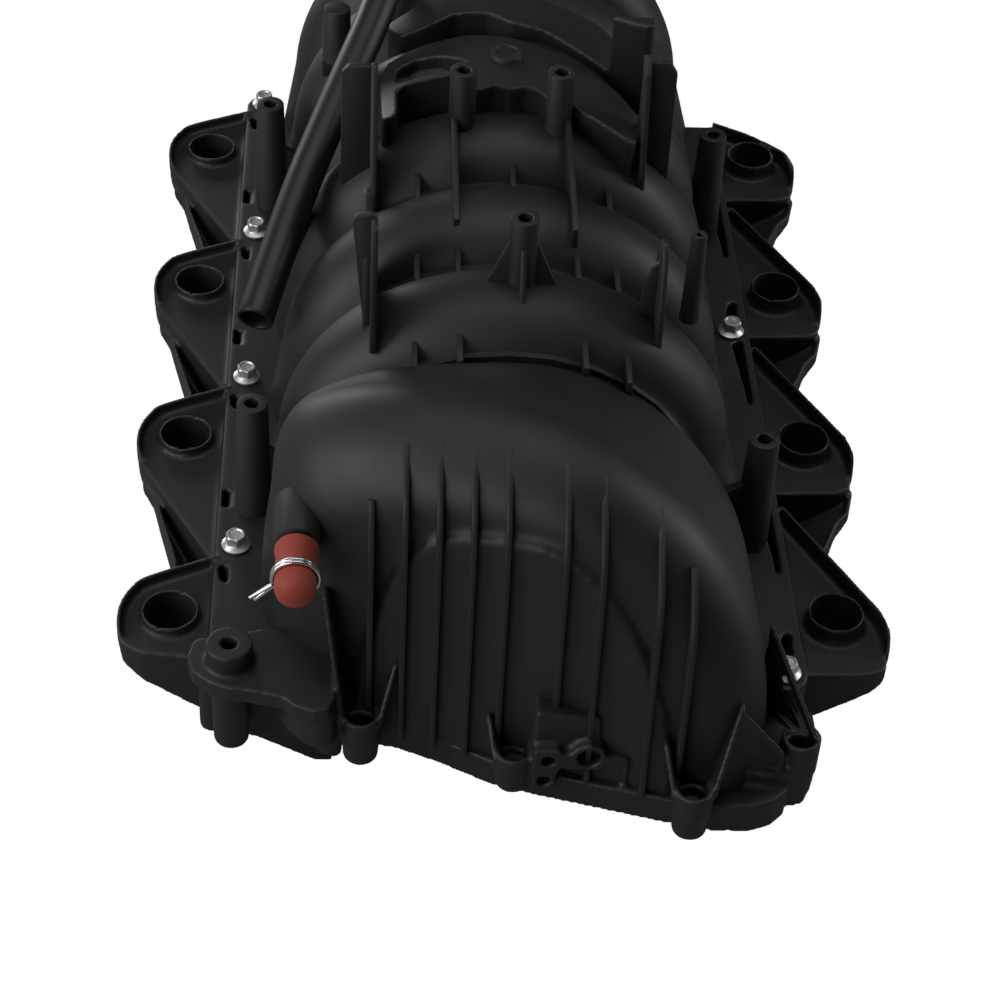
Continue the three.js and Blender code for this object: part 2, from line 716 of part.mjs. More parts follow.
function capClamp() {
  const ringR = capOd / 2 + gap + clampWire / 2;
  const ringY = nippleTipY + 10;
  const ring = new THREE.TorusGeometry(ringR, clampWire / 2, 6, 20);
  ring.rotateX(Math.PI / 2);
  let body = solidOf(ring.translate(nippleX, ringY, nippleZ));
  for (const lean of [0, 1]) {
    const turn = Math.PI * (1.1 + 0.08 * lean);
    const root = [nippleX + ringR * Math.cos(turn), ringY, nippleZ + ringR * Math.sin(turn)];
    body = body.add(rodBetween(root, [root[0] - 9, ringY - 2 + lean * 4, root[2] - 5], clampWire, 6));
  }
  return body;
}

// ---- vapour pipe along the left shoulder ----
const pipePath = [
  [-109, -40, 118],
  [-99, -6, 132],
  [-90, 24, 145],
  [-74, 62, 161],
  [-58, 108, 180],
  [-46, 148, 193],
  [-40, 176, 196],
];

function vapourPipe() {
  const path = new THREE.CatmullRomCurve3(pipePath.map((p) => new THREE.Vector3(...p)), false, "centripetal");
  const sides = 12;
  const ring = [...Array(sides).keys()].map((i) => [
    (pipeOd / 2) * Math.cos((2 * Math.PI * i) / sides),
    (pipeOd / 2) * Math.sin((2 * Math.PI * i) / sides),
  ]);
  const tube = new THREE.ExtrudeGeometry(shapeOf(ring), { steps: 14, extrudePath: path, bevelEnabled: false });
  const [end, next] = pipePath;
  const before = end.map((v, i) => v + 0.1 * (v - next[i]));
  return solidOf(tube).subtract(rodBetween(before, next, pipeBore, 12));
}

// ---- assembly ----
const group = new THREE.Group();

function add(name, solid, look) {
  const mesh = new THREE.Mesh(geometryOf(solid), new THREE.MeshStandardMaterial(look));
  mesh.name = name;
  group.add(mesh);
}

add("upper_shell", upperShell(), nylon);
add("runner_core", runnerCore(), nylon);
add("lower_shell", lowerShell(), nylon);
for (const side of ["left", "right"]) {
  add(`${side}_port_flange`, flange(side), nylon);
  for (let k = 0; k < cylindersPerBank; k++) {
    add(`port_seal_${side}_${k + 1}`, portSeal(ports[side][k]), sealRubber);
    add(`bolt_sleeve_${side}_${k + 1}`, boltSleeve(bolts[side][k]), zincSteel);
    add(`fixing_bolt_${side}_${k + 1}`, fixingBolt(bolts[side][k]), zincSteel);
  }
}
add("throttle_flange", throttleFlangeSolid(), nylon);
add("throttle_seal", throttleSeal(), sealRubber);
throttleHoles.forEach((hole, i) => add(`throttle_insert_${i + 1}`, throttleInsert(hole), brass));
add("vacuum_cap", vacuumCap(), capRubber);
add("cap_clamp", capClamp(), springSteel);
add("vapour_pipe", vapourPipe(), nylon);

const whole = new THREE.Box3().setFromObject(group);
group.position.set(-(whole.min.x + whole.max.x) / 2, -(whole.min.y + whole.max.y) / 2, -whole.min.z);

export default group;
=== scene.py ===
import math
import bmesh
import bpy
from mathutils import Matrix, Vector


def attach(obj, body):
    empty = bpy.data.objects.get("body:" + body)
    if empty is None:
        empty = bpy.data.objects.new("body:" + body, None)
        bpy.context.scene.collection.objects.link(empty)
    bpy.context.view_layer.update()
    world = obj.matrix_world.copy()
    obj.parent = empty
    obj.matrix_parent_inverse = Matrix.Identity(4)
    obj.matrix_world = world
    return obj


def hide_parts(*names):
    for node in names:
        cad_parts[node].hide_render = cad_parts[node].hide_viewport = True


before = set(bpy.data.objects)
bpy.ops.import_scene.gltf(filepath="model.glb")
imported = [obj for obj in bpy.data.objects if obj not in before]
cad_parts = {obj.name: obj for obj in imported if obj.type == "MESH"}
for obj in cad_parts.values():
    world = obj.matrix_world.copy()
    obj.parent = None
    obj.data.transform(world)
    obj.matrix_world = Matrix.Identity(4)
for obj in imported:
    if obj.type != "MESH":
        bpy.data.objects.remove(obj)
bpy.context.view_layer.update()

print("frame loaded:", len(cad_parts), "nodes")

# every size below is in millimetres in the part's own frame: +Y to the throttle, +X to the right bank, Z up from the floor
rowShiftY = 0.45  # the part's frame sits this far behind the row frame's origin
boreSpacing = 111.76
bandPitch = boreSpacing / 2
bankY = [(1.5 - k) * boreSpacing for k in range(4)]


# ---- small mesh tools, all working in millimetres on a bmesh ----
def clamp(value, low=0.0, high=1.0):
    return max(low, min(high, value))


def easeStep(value, start, end):
    t = clamp((value - start) / (end - start))
    return t * t * (3 - 2 * t)


def loft(bm, rings, closed=True):
    # rings of equal length; the first and last are capped
    rows = [[bm.verts.new(p) for p in ring] for ring in rings]
    count = len(rows[0])
    for a, b in zip(rows, rows[1:]):
        for i in range(count):
            j = (i + 1) % count
            bm.faces.new((a[i], a[j], b[j], b[i]))
    if closed:
        bm.faces.new(rows[0][::-1])
        bm.faces.new(rows[-1])
    return rows


def mergeInto(bm, part):
    bmesh.ops.recalc_face_normals(part, faces=part.faces)
    holder = bpy.data.meshes.new("holder")
    part.to_mesh(holder)
    part.free()
    bm.from_mesh(holder)
    bpy.data.meshes.remove(holder)


def softenEdges(part, soft, angle=0.45, segments=2):
    sharp = [e for e in part.edges if len(e.link_faces) == 2 and e.calc_face_angle(0) > angle]
    if sharp and soft > 0:
        bmesh.ops.bevel(part, geom=sharp, offset=soft, offset_type="OFFSET", segments=segments,
                        profile=0.5, affect="EDGES", clamp_overlap=True)


axisPlace = {
    "x": lambda u, v, w: (w, u, v),
    "y": lambda u, v, w: (u, w, v),
    "z": lambda u, v, w: (u, v, w),
}


def prism(bm, outline, axis, low, high, soft=0.0, lean=None):
    # an outline swept along an axis; lean, if given, is a function that reshapes the swept part
    part = bmesh.new()
    place = axisPlace[axis]
    loft(part, [[place(u, v, w) for u, v in outline] for w in (low, high)])
    bmesh.ops.recalc_face_normals(part, faces=part.faces)
    softenEdges(part, soft)
    if lean:
        lean(part)
    mergeInto(bm, part)


def lathe(bm, profile, centre, axis="z", steps=40, tilt=None):
    # profile of (radius, height); radius 0 closes on the axis, otherwise the profile is a closed loop
    part = bmesh.new()
    place = axisPlace[axis]
    rows = []
    for radius, height in profile:
        if radius < 1e-6:
            rows.append([part.verts.new(place(0, 0, height))])
        else:
            rows.append([part.verts.new(place(radius * math.cos(2 * math.pi * i / steps),
                                              radius * math.sin(2 * math.pi * i / steps), height))
                         for i in range(steps)])
    pairs = list(zip(rows, rows[1:]))
    if len(rows[0]) > 1:
        pairs.append((rows[-1], rows[0]))
    for a, b in pairs:
        for i in range(steps):
            j = (i + 1) % steps
            corners = [a[i % len(a)], a[j % len(a)], b[j % len(b)], b[i % len(b)]]
            unique = list(dict.fromkeys(corners))
            if len(unique) > 2:
                part.faces.new(unique)
    if tilt:
        bmesh.ops.transform(part, matrix=tilt, verts=part.verts)
    bmesh.ops.translate(part, vec=centre, verts=part.verts)
    mergeInto(bm, part)


def boss(bm, x, y, low, high, outer, hole=0.0, depth=14, edge=0.5, steps=36, drop=0.0, tilt=None):
    # a round post with rounded rims; hole is a blind hole from the top; drop widens the post towards its foot
    r, h = outer / 2, hole / 2
    profile = [(0, low - high), (r + drop, low - high), (r, -edge), (r - edge * 0.3, -edge * 0.3), (r - edge, 0)]
    if hole:
        profile += [(h + edge, 0), (h + 0.1, -edge * 0.7), (h, -edge * 1.6), (h, -depth), (0, -depth)]
    else:
        profile += [(0, 0)]
    lathe(bm, profile, (x, y, high), "z", steps, tilt)


def smoothPath(points, perSpan=8, closed=False):
    # centripetal-like curve through points
    pts = [Vector(p) for p in points]
    n = len(pts)
    out = []
    spans = n if closed else n - 1
    for i in range(spans):
        p1, p2 = pts[i], pts[(i + 1) % n]
        p0 = pts[(i - 1) % n] if closed or i > 0 else p1 * 2 - p2
        p3 = pts[(i + 2) % n] if closed or i + 2 < n else p2 * 2 - p1
        for k in range(perSpan):
            t = k / perSpan
            out.append(0.5 * ((2 * p1) + (p2 - p0) * t + (2 * p0 - 5 * p1 + 4 * p2 - p3) * t * t
                              + (3 * p1 - p0 - 3 * p2 + p3) * t * t * t))
    if not closed:
        out.append(pts[-1])
    return out


def evenly(points, count):
    lengths = [0.0]
    for a, b in zip(points, points[1:]):
        lengths.append(lengths[-1] + (b - a).length)
    out, k = [], 0
    for i in range(count):
        want = lengths[-1] * i / (count - 1)
        while k < len(lengths) - 2 and lengths[k + 1] < want:
            k += 1
        share = (want - lengths[k]) / max(1e-9, lengths[k + 1] - lengths[k])
        out.append(points[k].lerp(points[k + 1], clamp(share)))
    return out


def tube(bm, path, radius, sides=20, bore=0.0, capRound=0.0):
    # a round bar or a pipe along a path of vectors
    part = bmesh.new()
    up = Vector((0.13, 0.21, 1)).normalized()
    rings, inner = [], []
    for i, point in enumerate(path):
        ahead = (path[min(i + 1, len(path) - 1)] - path[max(i - 1, 0)]).normalized()
        side = ahead.cross(up).normalized()
        other = side.cross(ahead).normalized()
        def circle(r):
            return [point + side * (r * math.cos(2 * math.pi * k / sides)) + other * (r * math.sin(2 * math.pi * k / sides))
                    for k in range(sides)]
        rings.append(circle(radius))
        inner.append(circle(bore))
    if bore > 0:
        loop = rings + inner[::-1]
        rows = [[part.verts.new(p) for p in ring] for ring in loop]
        for a, b in zip(rows, rows[1:] + rows[:1]):
            for k in range(sides):
                j = (k + 1) % sides
                part.faces.new((a[k], a[j], b[j], b[k]))
    else:
        loft(part, rings)
    bmesh.ops.recalc_face_normals(part, faces=part.faces)
    softenEdges(part, capRound, angle=0.9)
    mergeInto(bm, part)


def rounded(points, radius, steps=5):
    # rounds the corners of a polygon; radius is one number or one for each corner
    out = []
    n = len(points)
    for i, point in enumerate(points):
        r = radius[i] if isinstance(radius, (list, tuple)) else radius
        p = Vector(point[:2])
        a = (Vector(points[i - 1][:2]) - p)
        b = (Vector(points[(i + 1) % n][:2]) - p)
        if r <= 0:
            out.append((p.x, p.y))
            continue
        la, lb = a.length, b.length
        a, b = a / la, b / lb
        half = math.acos(clamp(a.dot(b), -0.9999, 0.9999)) / 2
        cut = min(r / math.tan(half), la * 0.48, lb * 0.48)
        real = cut * math.tan(half)
        centre = p + (a + b).normalized() * (real / math.sin(half))
        start, end = p + a * cut - centre, p + b * cut - centre
        turn = math.atan2(start.x * end.y - start.y * end.x, start.dot(end))
        for k in range(steps + 1):
            spin = Matrix.Rotation(turn * k / steps, 2)
            q = centre + spin @ start
            out.append((q.x, q.y))
    return out


def insetOutline(points, d):
    # moves each side inwards by d; anticlockwise outlines only
    n = len(points)
    out = []
    for i in range(n):
        p, a, b = Vector(points[i]), Vector(points[i - 1]), Vector(points[(i + 1) % n])
        u, v = (p - a).normalized(), (b - p).normalized()
        nu, nv = Vector((-u.y, u.x)), Vector((-v.y, v.x))
        m = nu + nv
        out.append(tuple(p + m * (d / max(0.35, m.dot(nu)))))
    return out


def isAnticlockwise(points):
    return sum(a[0] * b[1] - b[0] * a[1] for a, b in zip(points, points[1:] + points[:1])) > 0


def ring(bm, outer, inner, low, high, soft=0.5):
    # an upright wall between two outlines of equal length
    part = bmesh.new()
    rows = []
    for outline, z in ((outer, low), (outer, high), (inner, high), (inner, low)):
        rows.append([part.verts.new((x, y, z)) for x, y in outline])
    n = len(outer)
    for a, b in zip(rows, rows[1:] + rows[:1]):
        for i in range(n):
            j = (i + 1) % n
            part.faces.new((a[i], a[j], b[j], b[i]))
    bmesh.ops.recalc_face_normals(part, faces=part.faces)
    softenEdges(part, soft, angle=0.9)
    mergeInto(bm, part)


def toObject(bm, name, materials, smoothAngle=0.6):
    mesh = bpy.data.meshes.new(name)
    bmesh.ops.transform(bm, matrix=Matrix.Translation((0, rowShiftY, 0)), verts=bm.verts)
    bmesh.ops.scale(bm, vec=(0.001, 0.001, 0.001), verts=bm.verts)
    bm.to_mesh(mesh)
    bm.free()
    for material in materials:
        mesh.materials.append(material)
    mesh.shade_smooth()
    if smoothAngle:
        mesh.set_sharp_from_angle(angle=smoothAngle)
    piece = bpy.data.objects.new(name, mesh)
    bpy.context.scene.collection.objects.link(piece)
    return piece


def placePiece(piece, nodes=(), body="manifold"):
    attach(piece, body)
    if nodes:
        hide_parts(*nodes)
    return piece


# ---- materials ----
def linear(hexColour):
    channels = [int(hexColour[i:i + 2], 16) / 255 for i in (1, 3, 5)]
    return tuple(c / 12.92 if c <= 0.04045 else ((c + 0.055) / 1.055) ** 2.4 for c in channels) + (1.0,)


def addNode(tree, kind, settings=None, links=None, **props):
    # one node with its properties, its input values and its incoming links
    node = tree.nodes.new(kind)
    for name, value in props.items():
        setattr(node, name, value)
    for socket, value in (settings or {}).items():
        node.inputs[socket].default_value = value
    for socket, source in (links or {}).items():
        tree.links.new(source, node.inputs[socket])
    return node


def startMaterial(name, **settings):
    material = bpy.data.materials.new(name)
    material.use_nodes = True
    tree = material.node_tree
    shader = tree.nodes["Principled BSDF"]
    for socket, value in settings.items():
        shader.inputs[socket.replace("_", " ")].default_value = value
    where = addNode(tree, "ShaderNodeTexCoord")
    return material, tree, shader, where.outputs["Object"]


def perMetre(millimetres):
    # texture scale of a pattern whose feature is this long
    return 1000.0 / millimetres


def mouldedNylon(name, tone, grain=0.35, roughLow=0.47, roughHigh=0.60):
    # glass-filled nylon 66 as moulded: near black, satin, a fine dry grain, faint flow clouding and rubbed edges
    material, tree, shader, place = startMaterial(name, IOR=1.53)
    cloud = addNode(tree, "ShaderNodeTexNoise", {"Scale": perMetre(38), "Detail": 4.0, "Roughness": 0.55}, {"Vector": place})
    fleck = addNode(tree, "ShaderNodeTexNoise", {"Scale": perMetre(1.1), "Detail": 3.0, "Roughness": 0.7}, {"Vector": place})
    fibre = addNode(tree, "ShaderNodeTexNoise", {"Scale": perMetre(grain), "Detail": 2.0}, {"Vector": place})
    rub = addNode(tree, "ShaderNodeNewGeometry")
    edge = addNode(tree, "ShaderNodeMapRange", {"From Min": 0.515, "From Max": 0.60, "To Max": 0.35}, {"Value": rub.outputs["Pointiness"]})
    dark = addNode(tree, "ShaderNodeMix", {"A": linear(tone[0]), "B": linear(tone[1])}, {"Factor": cloud.outputs["Fac"]}, data_type="RGBA")
    speck = addNode(tree, "ShaderNodeMapRange", {"From Min": 0.60, "From Max": 0.78, "To Max": 0.5}, {"Value": fleck.outputs["Fac"]})
    pale = addNode(tree, "ShaderNodeMix", {"B": linear(tone[2])}, {"Factor": speck.outputs["Result"], "A": dark.outputs["Result"]}, data_type="RGBA")
    worn = addNode(tree, "ShaderNodeMix", {"B": linear(tone[3])}, {"Factor": edge.outputs["Result"], "A": pale.outputs["Result"]}, data_type="RGBA")
    tree.links.new(worn.outputs["Result"], shader.inputs["Base Color"])
    sheen = addNode(tree, "ShaderNodeMapRange", {"From Min": 0.3, "From Max": 0.7, "To Min": roughLow, "To Max": roughHigh}, {"Value": cloud.outputs["Fac"]})
    tree.links.new(sheen.outputs["Result"], shader.inputs["Roughness"])
    both = addNode(tree, "ShaderNodeMath", {}, {0: fleck.outputs["Fac"], 1: fibre.outputs["Fac"]}, operation="ADD")
    bump = addNode(tree, "ShaderNodeBump", {"Strength": 0.12, "Distance": 0.00025}, {"Height": both.outputs["Value"]})
    tree.links.new(bump.outputs["Normal"], shader.inputs["Normal"])
    return material


def scratchedNylon(name, tone):
    # the same nylon on the proud shell: a few pale handling scratches over the satin grain
    material = mouldedNylon(name, tone)
    tree = material.node_tree
    shader = tree.nodes["Principled BSDF"]
    place = next(n for n in tree.nodes if n.type == "TEX_COORD").outputs["Object"]
    colour = shader.inputs["Base Color"].links[0].from_socket
    turned = addNode(tree, "ShaderNodeMapping", {"Rotation": (0.4, 0.2, 0.7), "Scale": (1.0, 0.06, 1.0)}, {"Vector": place})
    lines = addNode(tree, "ShaderNodeTexVoronoi", {"Scale": perMetre(30), "Randomness": 1.0}, {"Vector": turned.outputs["Vector"]}, feature="DISTANCE_TO_EDGE")
    thin = addNode(tree, "ShaderNodeMapRange", {"From Min": 0.0, "From Max": 0.006, "To Min": 1.0, "To Max": 0.0}, {"Value": lines.outputs["Distance"]})
    patch = addNode(tree, "ShaderNodeTexNoise", {"Scale": perMetre(26), "Detail": 1.0}, {"Vector": place})
    where = addNode(tree, "ShaderNodeMapRange", {"From Min": 0.68, "From Max": 0.74, "To Max": 0.14}, {"Value": patch.outputs["Fac"]})
    amount = addNode(tree, "ShaderNodeMath", {}, {0: thin.outputs["Result"], 1: where.outputs["Result"]}, operation="MULTIPLY")
    mixed = addNode(tree, "ShaderNodeMix", {"B": linear("#6a6c70")}, {"Factor": amount.outputs["Value"], "A": colour}, data_type="RGBA")
    tree.links.new(mixed.outputs["Result"], shader.inputs["Base Color"])
    return material


def platedSteel(name, tone, roughness, speckle):
    # bright zinc plate over steel: cool silver, slightly mottled in colour, gloss and bump
    material, tree, shader, place = startMaterial(name, Metallic=1.0)
    mottle = addNode(tree, "ShaderNodeTexNoise", {"Scale": perMetre(speckle), "Detail": 5.0, "Roughness": 0.65}, {"Vector": place})
    colour = addNode(tree, "ShaderNodeMix", {"A": linear(tone[0]), "B": linear(tone[1])}, {"Factor": mottle.outputs["Fac"]}, data_type="RGBA")
    tree.links.new(colour.outputs["Result"], shader.inputs["Base Color"])
    gloss = addNode(tree, "ShaderNodeMapRange", {"From Min": 0.3, "From Max": 0.7, "To Min": roughness - 0.08, "To Max": roughness + 0.1}, {"Value": mottle.outputs["Fac"]})
    tree.links.new(gloss.outputs["Result"], shader.inputs["Roughness"])
    bump = addNode(tree, "ShaderNodeBump", {"Strength": 0.08, "Distance": 0.0001}, {"Height": mottle.outputs["Fac"]})
    tree.links.new(bump.outputs["Normal"], shader.inputs["Normal"])
    return material


def mouldedRubber(name, tone, roughness, grain, bloom):
    # silicone or EPDM rubber: matt, powdery bloom in patches, fine mould grain
    material, tree, shader, place = startMaterial(name, IOR=1.45, Sheen_Weight=0.08)
    patch = addNode(tree, "ShaderNodeTexNoise", {"Scale": perMetre(9), "Detail": 4.0}, {"Vector": place})
    fine = addNode(tree, "ShaderNodeTexNoise", {"Scale": perMetre(grain), "Detail": 3.0}, {"Vector": place})
    base = addNode(tree, "ShaderNodeMix", {"A": linear(tone[0]), "B": linear(tone[1])}, {"Factor": patch.outputs["Fac"]}, data_type="RGBA")
    dust = addNode(tree, "ShaderNodeMapRange", {"From Min": 0.55, "From Max": 0.8, "To Max": bloom}, {"Value": fine.outputs["Fac"]})
    dusty = addNode(tree, "ShaderNodeMix", {"B": linear(tone[2])}, {"Factor": dust.outputs["Result"], "A": base.outputs["Result"]}, data_type="RGBA")
    tree.links.new(dusty.outputs["Result"], shader.inputs["Base Color"])
    gloss = addNode(tree, "ShaderNodeMapRange", {"To Min": roughness - 0.07, "To Max": roughness + 0.1}, {"Value": patch.outputs["Fac"]})
    tree.links.new(gloss.outputs["Result"], shader.inputs["Roughness"])
    bump = addNode(tree, "ShaderNodeBump", {"Strength": 0.15, "Distance": 0.0001}, {"Height": fine.outputs["Fac"]})
    tree.links.new(bump.outputs["Normal"], shader.inputs["Normal"])
    return material


nylonTone = ("#141517", "#1a1b1d", "#262729", "#333437")
shellNylon = scratchedNylon("blackNylonSatinMoulded", nylonTone)
flangeNylon = mouldedNylon("blackNylonSatinFlange", nylonTone)
innerNylon = mouldedNylon("blackNylonInner", ("#131415", "#18191a", "#242527", "#2a2b2d"), roughLow=0.55, roughHigh=0.7)
pipeNylon = mouldedNylon("blackNylonExtrudedPipe", ("#0e0f10", "#131416", "#1c1d1f", "#26272a"), grain=0.6, roughLow=0.38, roughHigh=0.5)
zincSteel = platedSteel("zincPlatedSteel", ("#dfe1e5", "#f2f3f5"), 0.42, 2.6)
springWire = platedSteel("nickelledSpringWire", ("#c4c6ca", "#eceef0"), 0.2, 0.8)
capRubber = mouldedRubber("terracottaSiliconeMatt", ("#8e3527", "#a24434", "#b9675a"), 0.62, 0.5, 0.35)
sealRubber = mouldedRubber("darkGreenSealRubber", ("#1d2a22", "#27362b", "#3a4a40"), 0.55, 0.6, 0.3)
brassKnurled = platedSteel("turnedBrass", ("#a37f3c", "#c7a45c"), 0.32, 0.9)
print("materials made")


# ---- camera, light and floor ----
view = {
    "place": (-0.0626973, -0.8983475, 0.7986347),
    "right": (0.99826646, -0.03340724, 0.04845641),
    "up": (-0.01309181, 0.67663622, 0.73620108),
    "ahead": (0.05738181, 0.73555923, -0.67502589),
    "lens": 89.562,
}


def makeCamera():
    data = bpy.data.cameras.new("studioCamera")
    data.lens = view["lens"]
    data.sensor_width = 36
    data.clip_end = 20
    camera = bpy.data.objects.new("studioCamera", data)
    r, u, f, p = (Vector(view[k]) for k in ("right", "up", "ahead", "place"))
    camera.matrix_world = Matrix(((r.x, u.x, -f.x, p.x), (r.y, u.y, -f.y, p.y), (r.z, u.z, -f.z, p.z), (0, 0, 0, 1)))
    bpy.context.scene.collection.objects.link(camera)
    bpy.context.scene.camera = camera


studio = {
    # name: (place, aim, width, height, watts)
    "overhead": ((0.0, 0.1, 1.6), (0, 0, 0.1), 1.3, 0.9, 5.5),
    "leftBox": ((-1.5, -0.5, 0.8), (0, 0, 0.1), 0.7, 1.4, 13),
    "rightBox": ((1.5, 0.3, 0.7), (0, 0, 0.1), 0.4, 1.2, 6),
    "behindCamera": ((-1.1, -1.8, 0.9), (0, 0, 0.05), 1.2, 0.7, 9),
    "frontFill": ((-0.9, 1.7, 0.4), (0, 0, 0.1), 1.0, 0.5, 9),
}


def makeLights():
    for name, (place, aim, wide, high, watts) in studio.items():
        data = bpy.data.lights.new(name, "AREA")
        data.shape = "RECTANGLE"
        data.size, data.size_y, data.energy = wide, high, watts
        lamp = bpy.data.objects.new(name, data)
        lamp.location = place
        lamp.rotation_euler = (Vector(aim) - Vector(place)).to_track_quat("-Z", "Y").to_euler()
        bpy.context.scene.collection.objects.link(lamp)


def paleBacking(tree, seen, lit, output):
    # bright paper to the eye, and a softer glow on the object
    rays = addNode(tree, "ShaderNodeLightPath")
    paper = addNode(tree, "ShaderNodeEmission" if output.type != "OUTPUT_WORLD" else "ShaderNodeBackground",
                    {"Color": (1, 1, 1, 1), "Strength": seen})
    glow = addNode(tree, "ShaderNodeBackground" if output.type == "OUTPUT_WORLD" else "ShaderNodeEmission",
                   {"Color": (1, 1, 1, 1), "Strength": lit})
    pick = addNode(tree, "ShaderNodeMixShader", {}, {0: rays.outputs["Is Camera Ray"], 1: glow.outputs[0], 2: paper.outputs[0]})
    tree.links.new(pick.outputs[0], output.inputs["Surface"])


def makeBackdrop():
    world = bpy.data.worlds.new("studio")
    bpy.context.scene.world = world
    world.use_nodes = True
    paleBacking(world.node_tree, 1.0, 0.06, world.node_tree.nodes["World Output"])
    floorMesh = bpy.data.meshes.new("paleFloor")
    sheet = bmesh.new()
    bmesh.ops.create_grid(sheet, x_segments=2, y_segments=2, size=6)
    sheet.to_mesh(floorMesh)
    sheet.free()
    material = bpy.data.materials.new("paleStudioPaper")
    material.use_nodes = True
    tree = material.node_tree
    shader = tree.nodes["Principled BSDF"]
    shader.inputs["Base Color"].default_value = (0.3, 0.3, 0.3, 1)
    shader.inputs["Roughness"].default_value = 0.9
    rays = addNode(tree, "ShaderNodeLightPath")
    paper = addNode(tree, "ShaderNodeEmission", {"Color": (1, 1, 1, 1), "Strength": 1.0})
    pick = addNode(tree, "ShaderNodeMixShader", {}, {0: rays.outputs["Is Camera Ray"], 1: shader.outputs[0], 2: paper.outputs[0]})
    tree.links.new(pick.outputs[0], tree.nodes["Material Output"].inputs["Surface"])
    floorMesh.materials.append(material)
    floor = bpy.data.objects.new("paleFloor", floorMesh)
    floor.location = (0, 0, -0.0002)
    bpy.context.scene.collection.objects.link(floor)


makeCamera()
makeLights()
makeBackdrop()
bpy.context.scene.view_settings.view_transform = "Standard"
print("studio made")


# ---- moulding: solids added and cut in turn, then one soft skin ----
def linkedObject(name, mesh):
    piece = bpy.data.objects.new(name, mesh)
    bpy.context.scene.collection.objects.link(piece)
    return piece


def evaluatedMesh(piece):
    bpy.context.view_layer.update()
    return bpy.data.meshes.new_from_object(piece.evaluated_get(bpy.context.evaluated_depsgraph_get()))


def voxelSkin(bm, voxel):
    # the union of overlapping closed solids, as a mesh in metres
    bmesh.ops.scale(bm, vec=(0.001, 0.001, 0.001), verts=bm.verts)
    mesh = bpy.data.meshes.new("solids")
    bm.to_mesh(mesh)
    bm.free()
    piece = linkedObject("solids", mesh)
    remesh = piece.modifiers.new("skin", "REMESH")
    remesh.mode = "VOXEL"
    remesh.voxel_size = voxel / 1000
    made = evaluatedMesh(piece)
    bpy.data.objects.remove(piece)
    bpy.data.meshes.remove(mesh)
    return made


def moulded(steps, voxel, passes):
    # steps are ("add" or "cut", bmesh); the result is a bmesh in millimetres with softened edges
    body = linkedObject("body", voxelSkin(steps[0][1], voxel))
    for kind, bm in steps[1:]:
        tool = linkedObject("tool", voxelSkin(bm, voxel))
        cut = body.modifiers.new("step", "BOOLEAN")
        cut.operation = "UNION" if kind == "add" else "DIFFERENCE"
        cut.solver = "MANIFOLD"
        cut.object = tool
        made = evaluatedMesh(body)
        body.modifiers.clear()
        body.data = made
        bpy.data.objects.remove(tool)
    remesh = body.modifiers.new("skin", "REMESH")
    remesh.mode = "VOXEL"
    remesh.voxel_size = voxel / 1000
    soft = body.modifiers.new("soften", "SMOOTH")
    soft.factor = 0.5
    soft.iterations = passes
    made = evaluatedMesh(body)
    out = bmesh.new()
    out.from_mesh(made)
    bmesh.ops.scale(out, vec=(1000, 1000, 1000), verts=out.verts)
    bpy.data.objects.remove(body)
    bpy.data.meshes.remove(made)
    return out


# ---- upper shell: runner roofs and rear dome ----
roof = {
    "crestZ": 175.3, "crestRise": 0.045, "waistZ": 90.0, "half": 95.0, "middle": -2.0,
    "foot": 104.0, "deckZ": 63.0, "groove": 17.0, "bandRadius": 28.6,
    "frontY": 222.6, "domeFrontY": -bandPitch * 2, "domeRearY": -206.0,
    "rearRound": 36.0, "rearInset": 30.0, "skew": 0.30, "lean": 0.0875, "skirtZ": 30.0,
    "frontDrop": 12.5, "rightExtra": 5.0,
}
domeSection = [(-103, 60), (-101, 85), (-98.5, 105), (-97.5, 117), (-96, 131), (-90.5, 148), (-82, 159), (-66, 169),
               (-46.5, 175.5), (-24, 178.5), (-2, 179.5), (20, 177), (41, 168), (67, 150), (84, 129), (96, 105), (102, 80), (104, 60)]
sectionCount = 121


def bandSection():
    out = [Vector((-roof["foot"], roof["deckZ"] - 5))]
    tall = roof["crestZ"] - roof["waistZ"]
    for i in range(1, 60):
        a = math.pi * (1 - i / 60)
        wide = roof["half"] + (roof["rightExtra"] if math.cos(a) > 0 else 0)
        out.append(Vector((roof["middle"] + wide * math.cos(a), roof["waistZ"] + tall * math.sin(a))))
    out.append(Vector((roof["foot"] + roof["rightExtra"], roof["deckZ"] - 5)))
    return evenly(out, sectionCount)


bandCurve = bandSection()
domeCurve = evenly(smoothPath([Vector(p) for p in domeSection], 8), sectionCount)


def curveNormals(curve):
    out = []
    for i in range(len(curve)):
        along = curve[min(i + 1, len(curve) - 1)] - curve[max(i - 1, 0)]
        out.append(Vector((along.y, -along.x)).normalized())
    return out


bandNormals, domeNormals = curveNormals(bandCurve), curveNormals(domeCurve)


def roundDrop(distance):
    # how far a round-backed runner has fallen away at this distance from its crest line
    r = roof["bandRadius"]
    drop = r - math.sqrt(max(0.0, r * r - min(distance, r) ** 2))
    floor = roof["groove"]
    return drop if drop < floor - 3 else min(floor, floor - 3 + 3 * math.tanh((drop - floor + 3) / 3))


def grooveDepth(y):
    if y < roof["domeFrontY"]:
        return roundDrop(max(0.0, y - roof["domeFrontY"] + bandPitch / 2))
    middle = roof["domeFrontY"] + (math.floor((y - roof["domeFrontY"]) / bandPitch) + 0.5) * bandPitch
    return roundDrop(abs(y - middle))


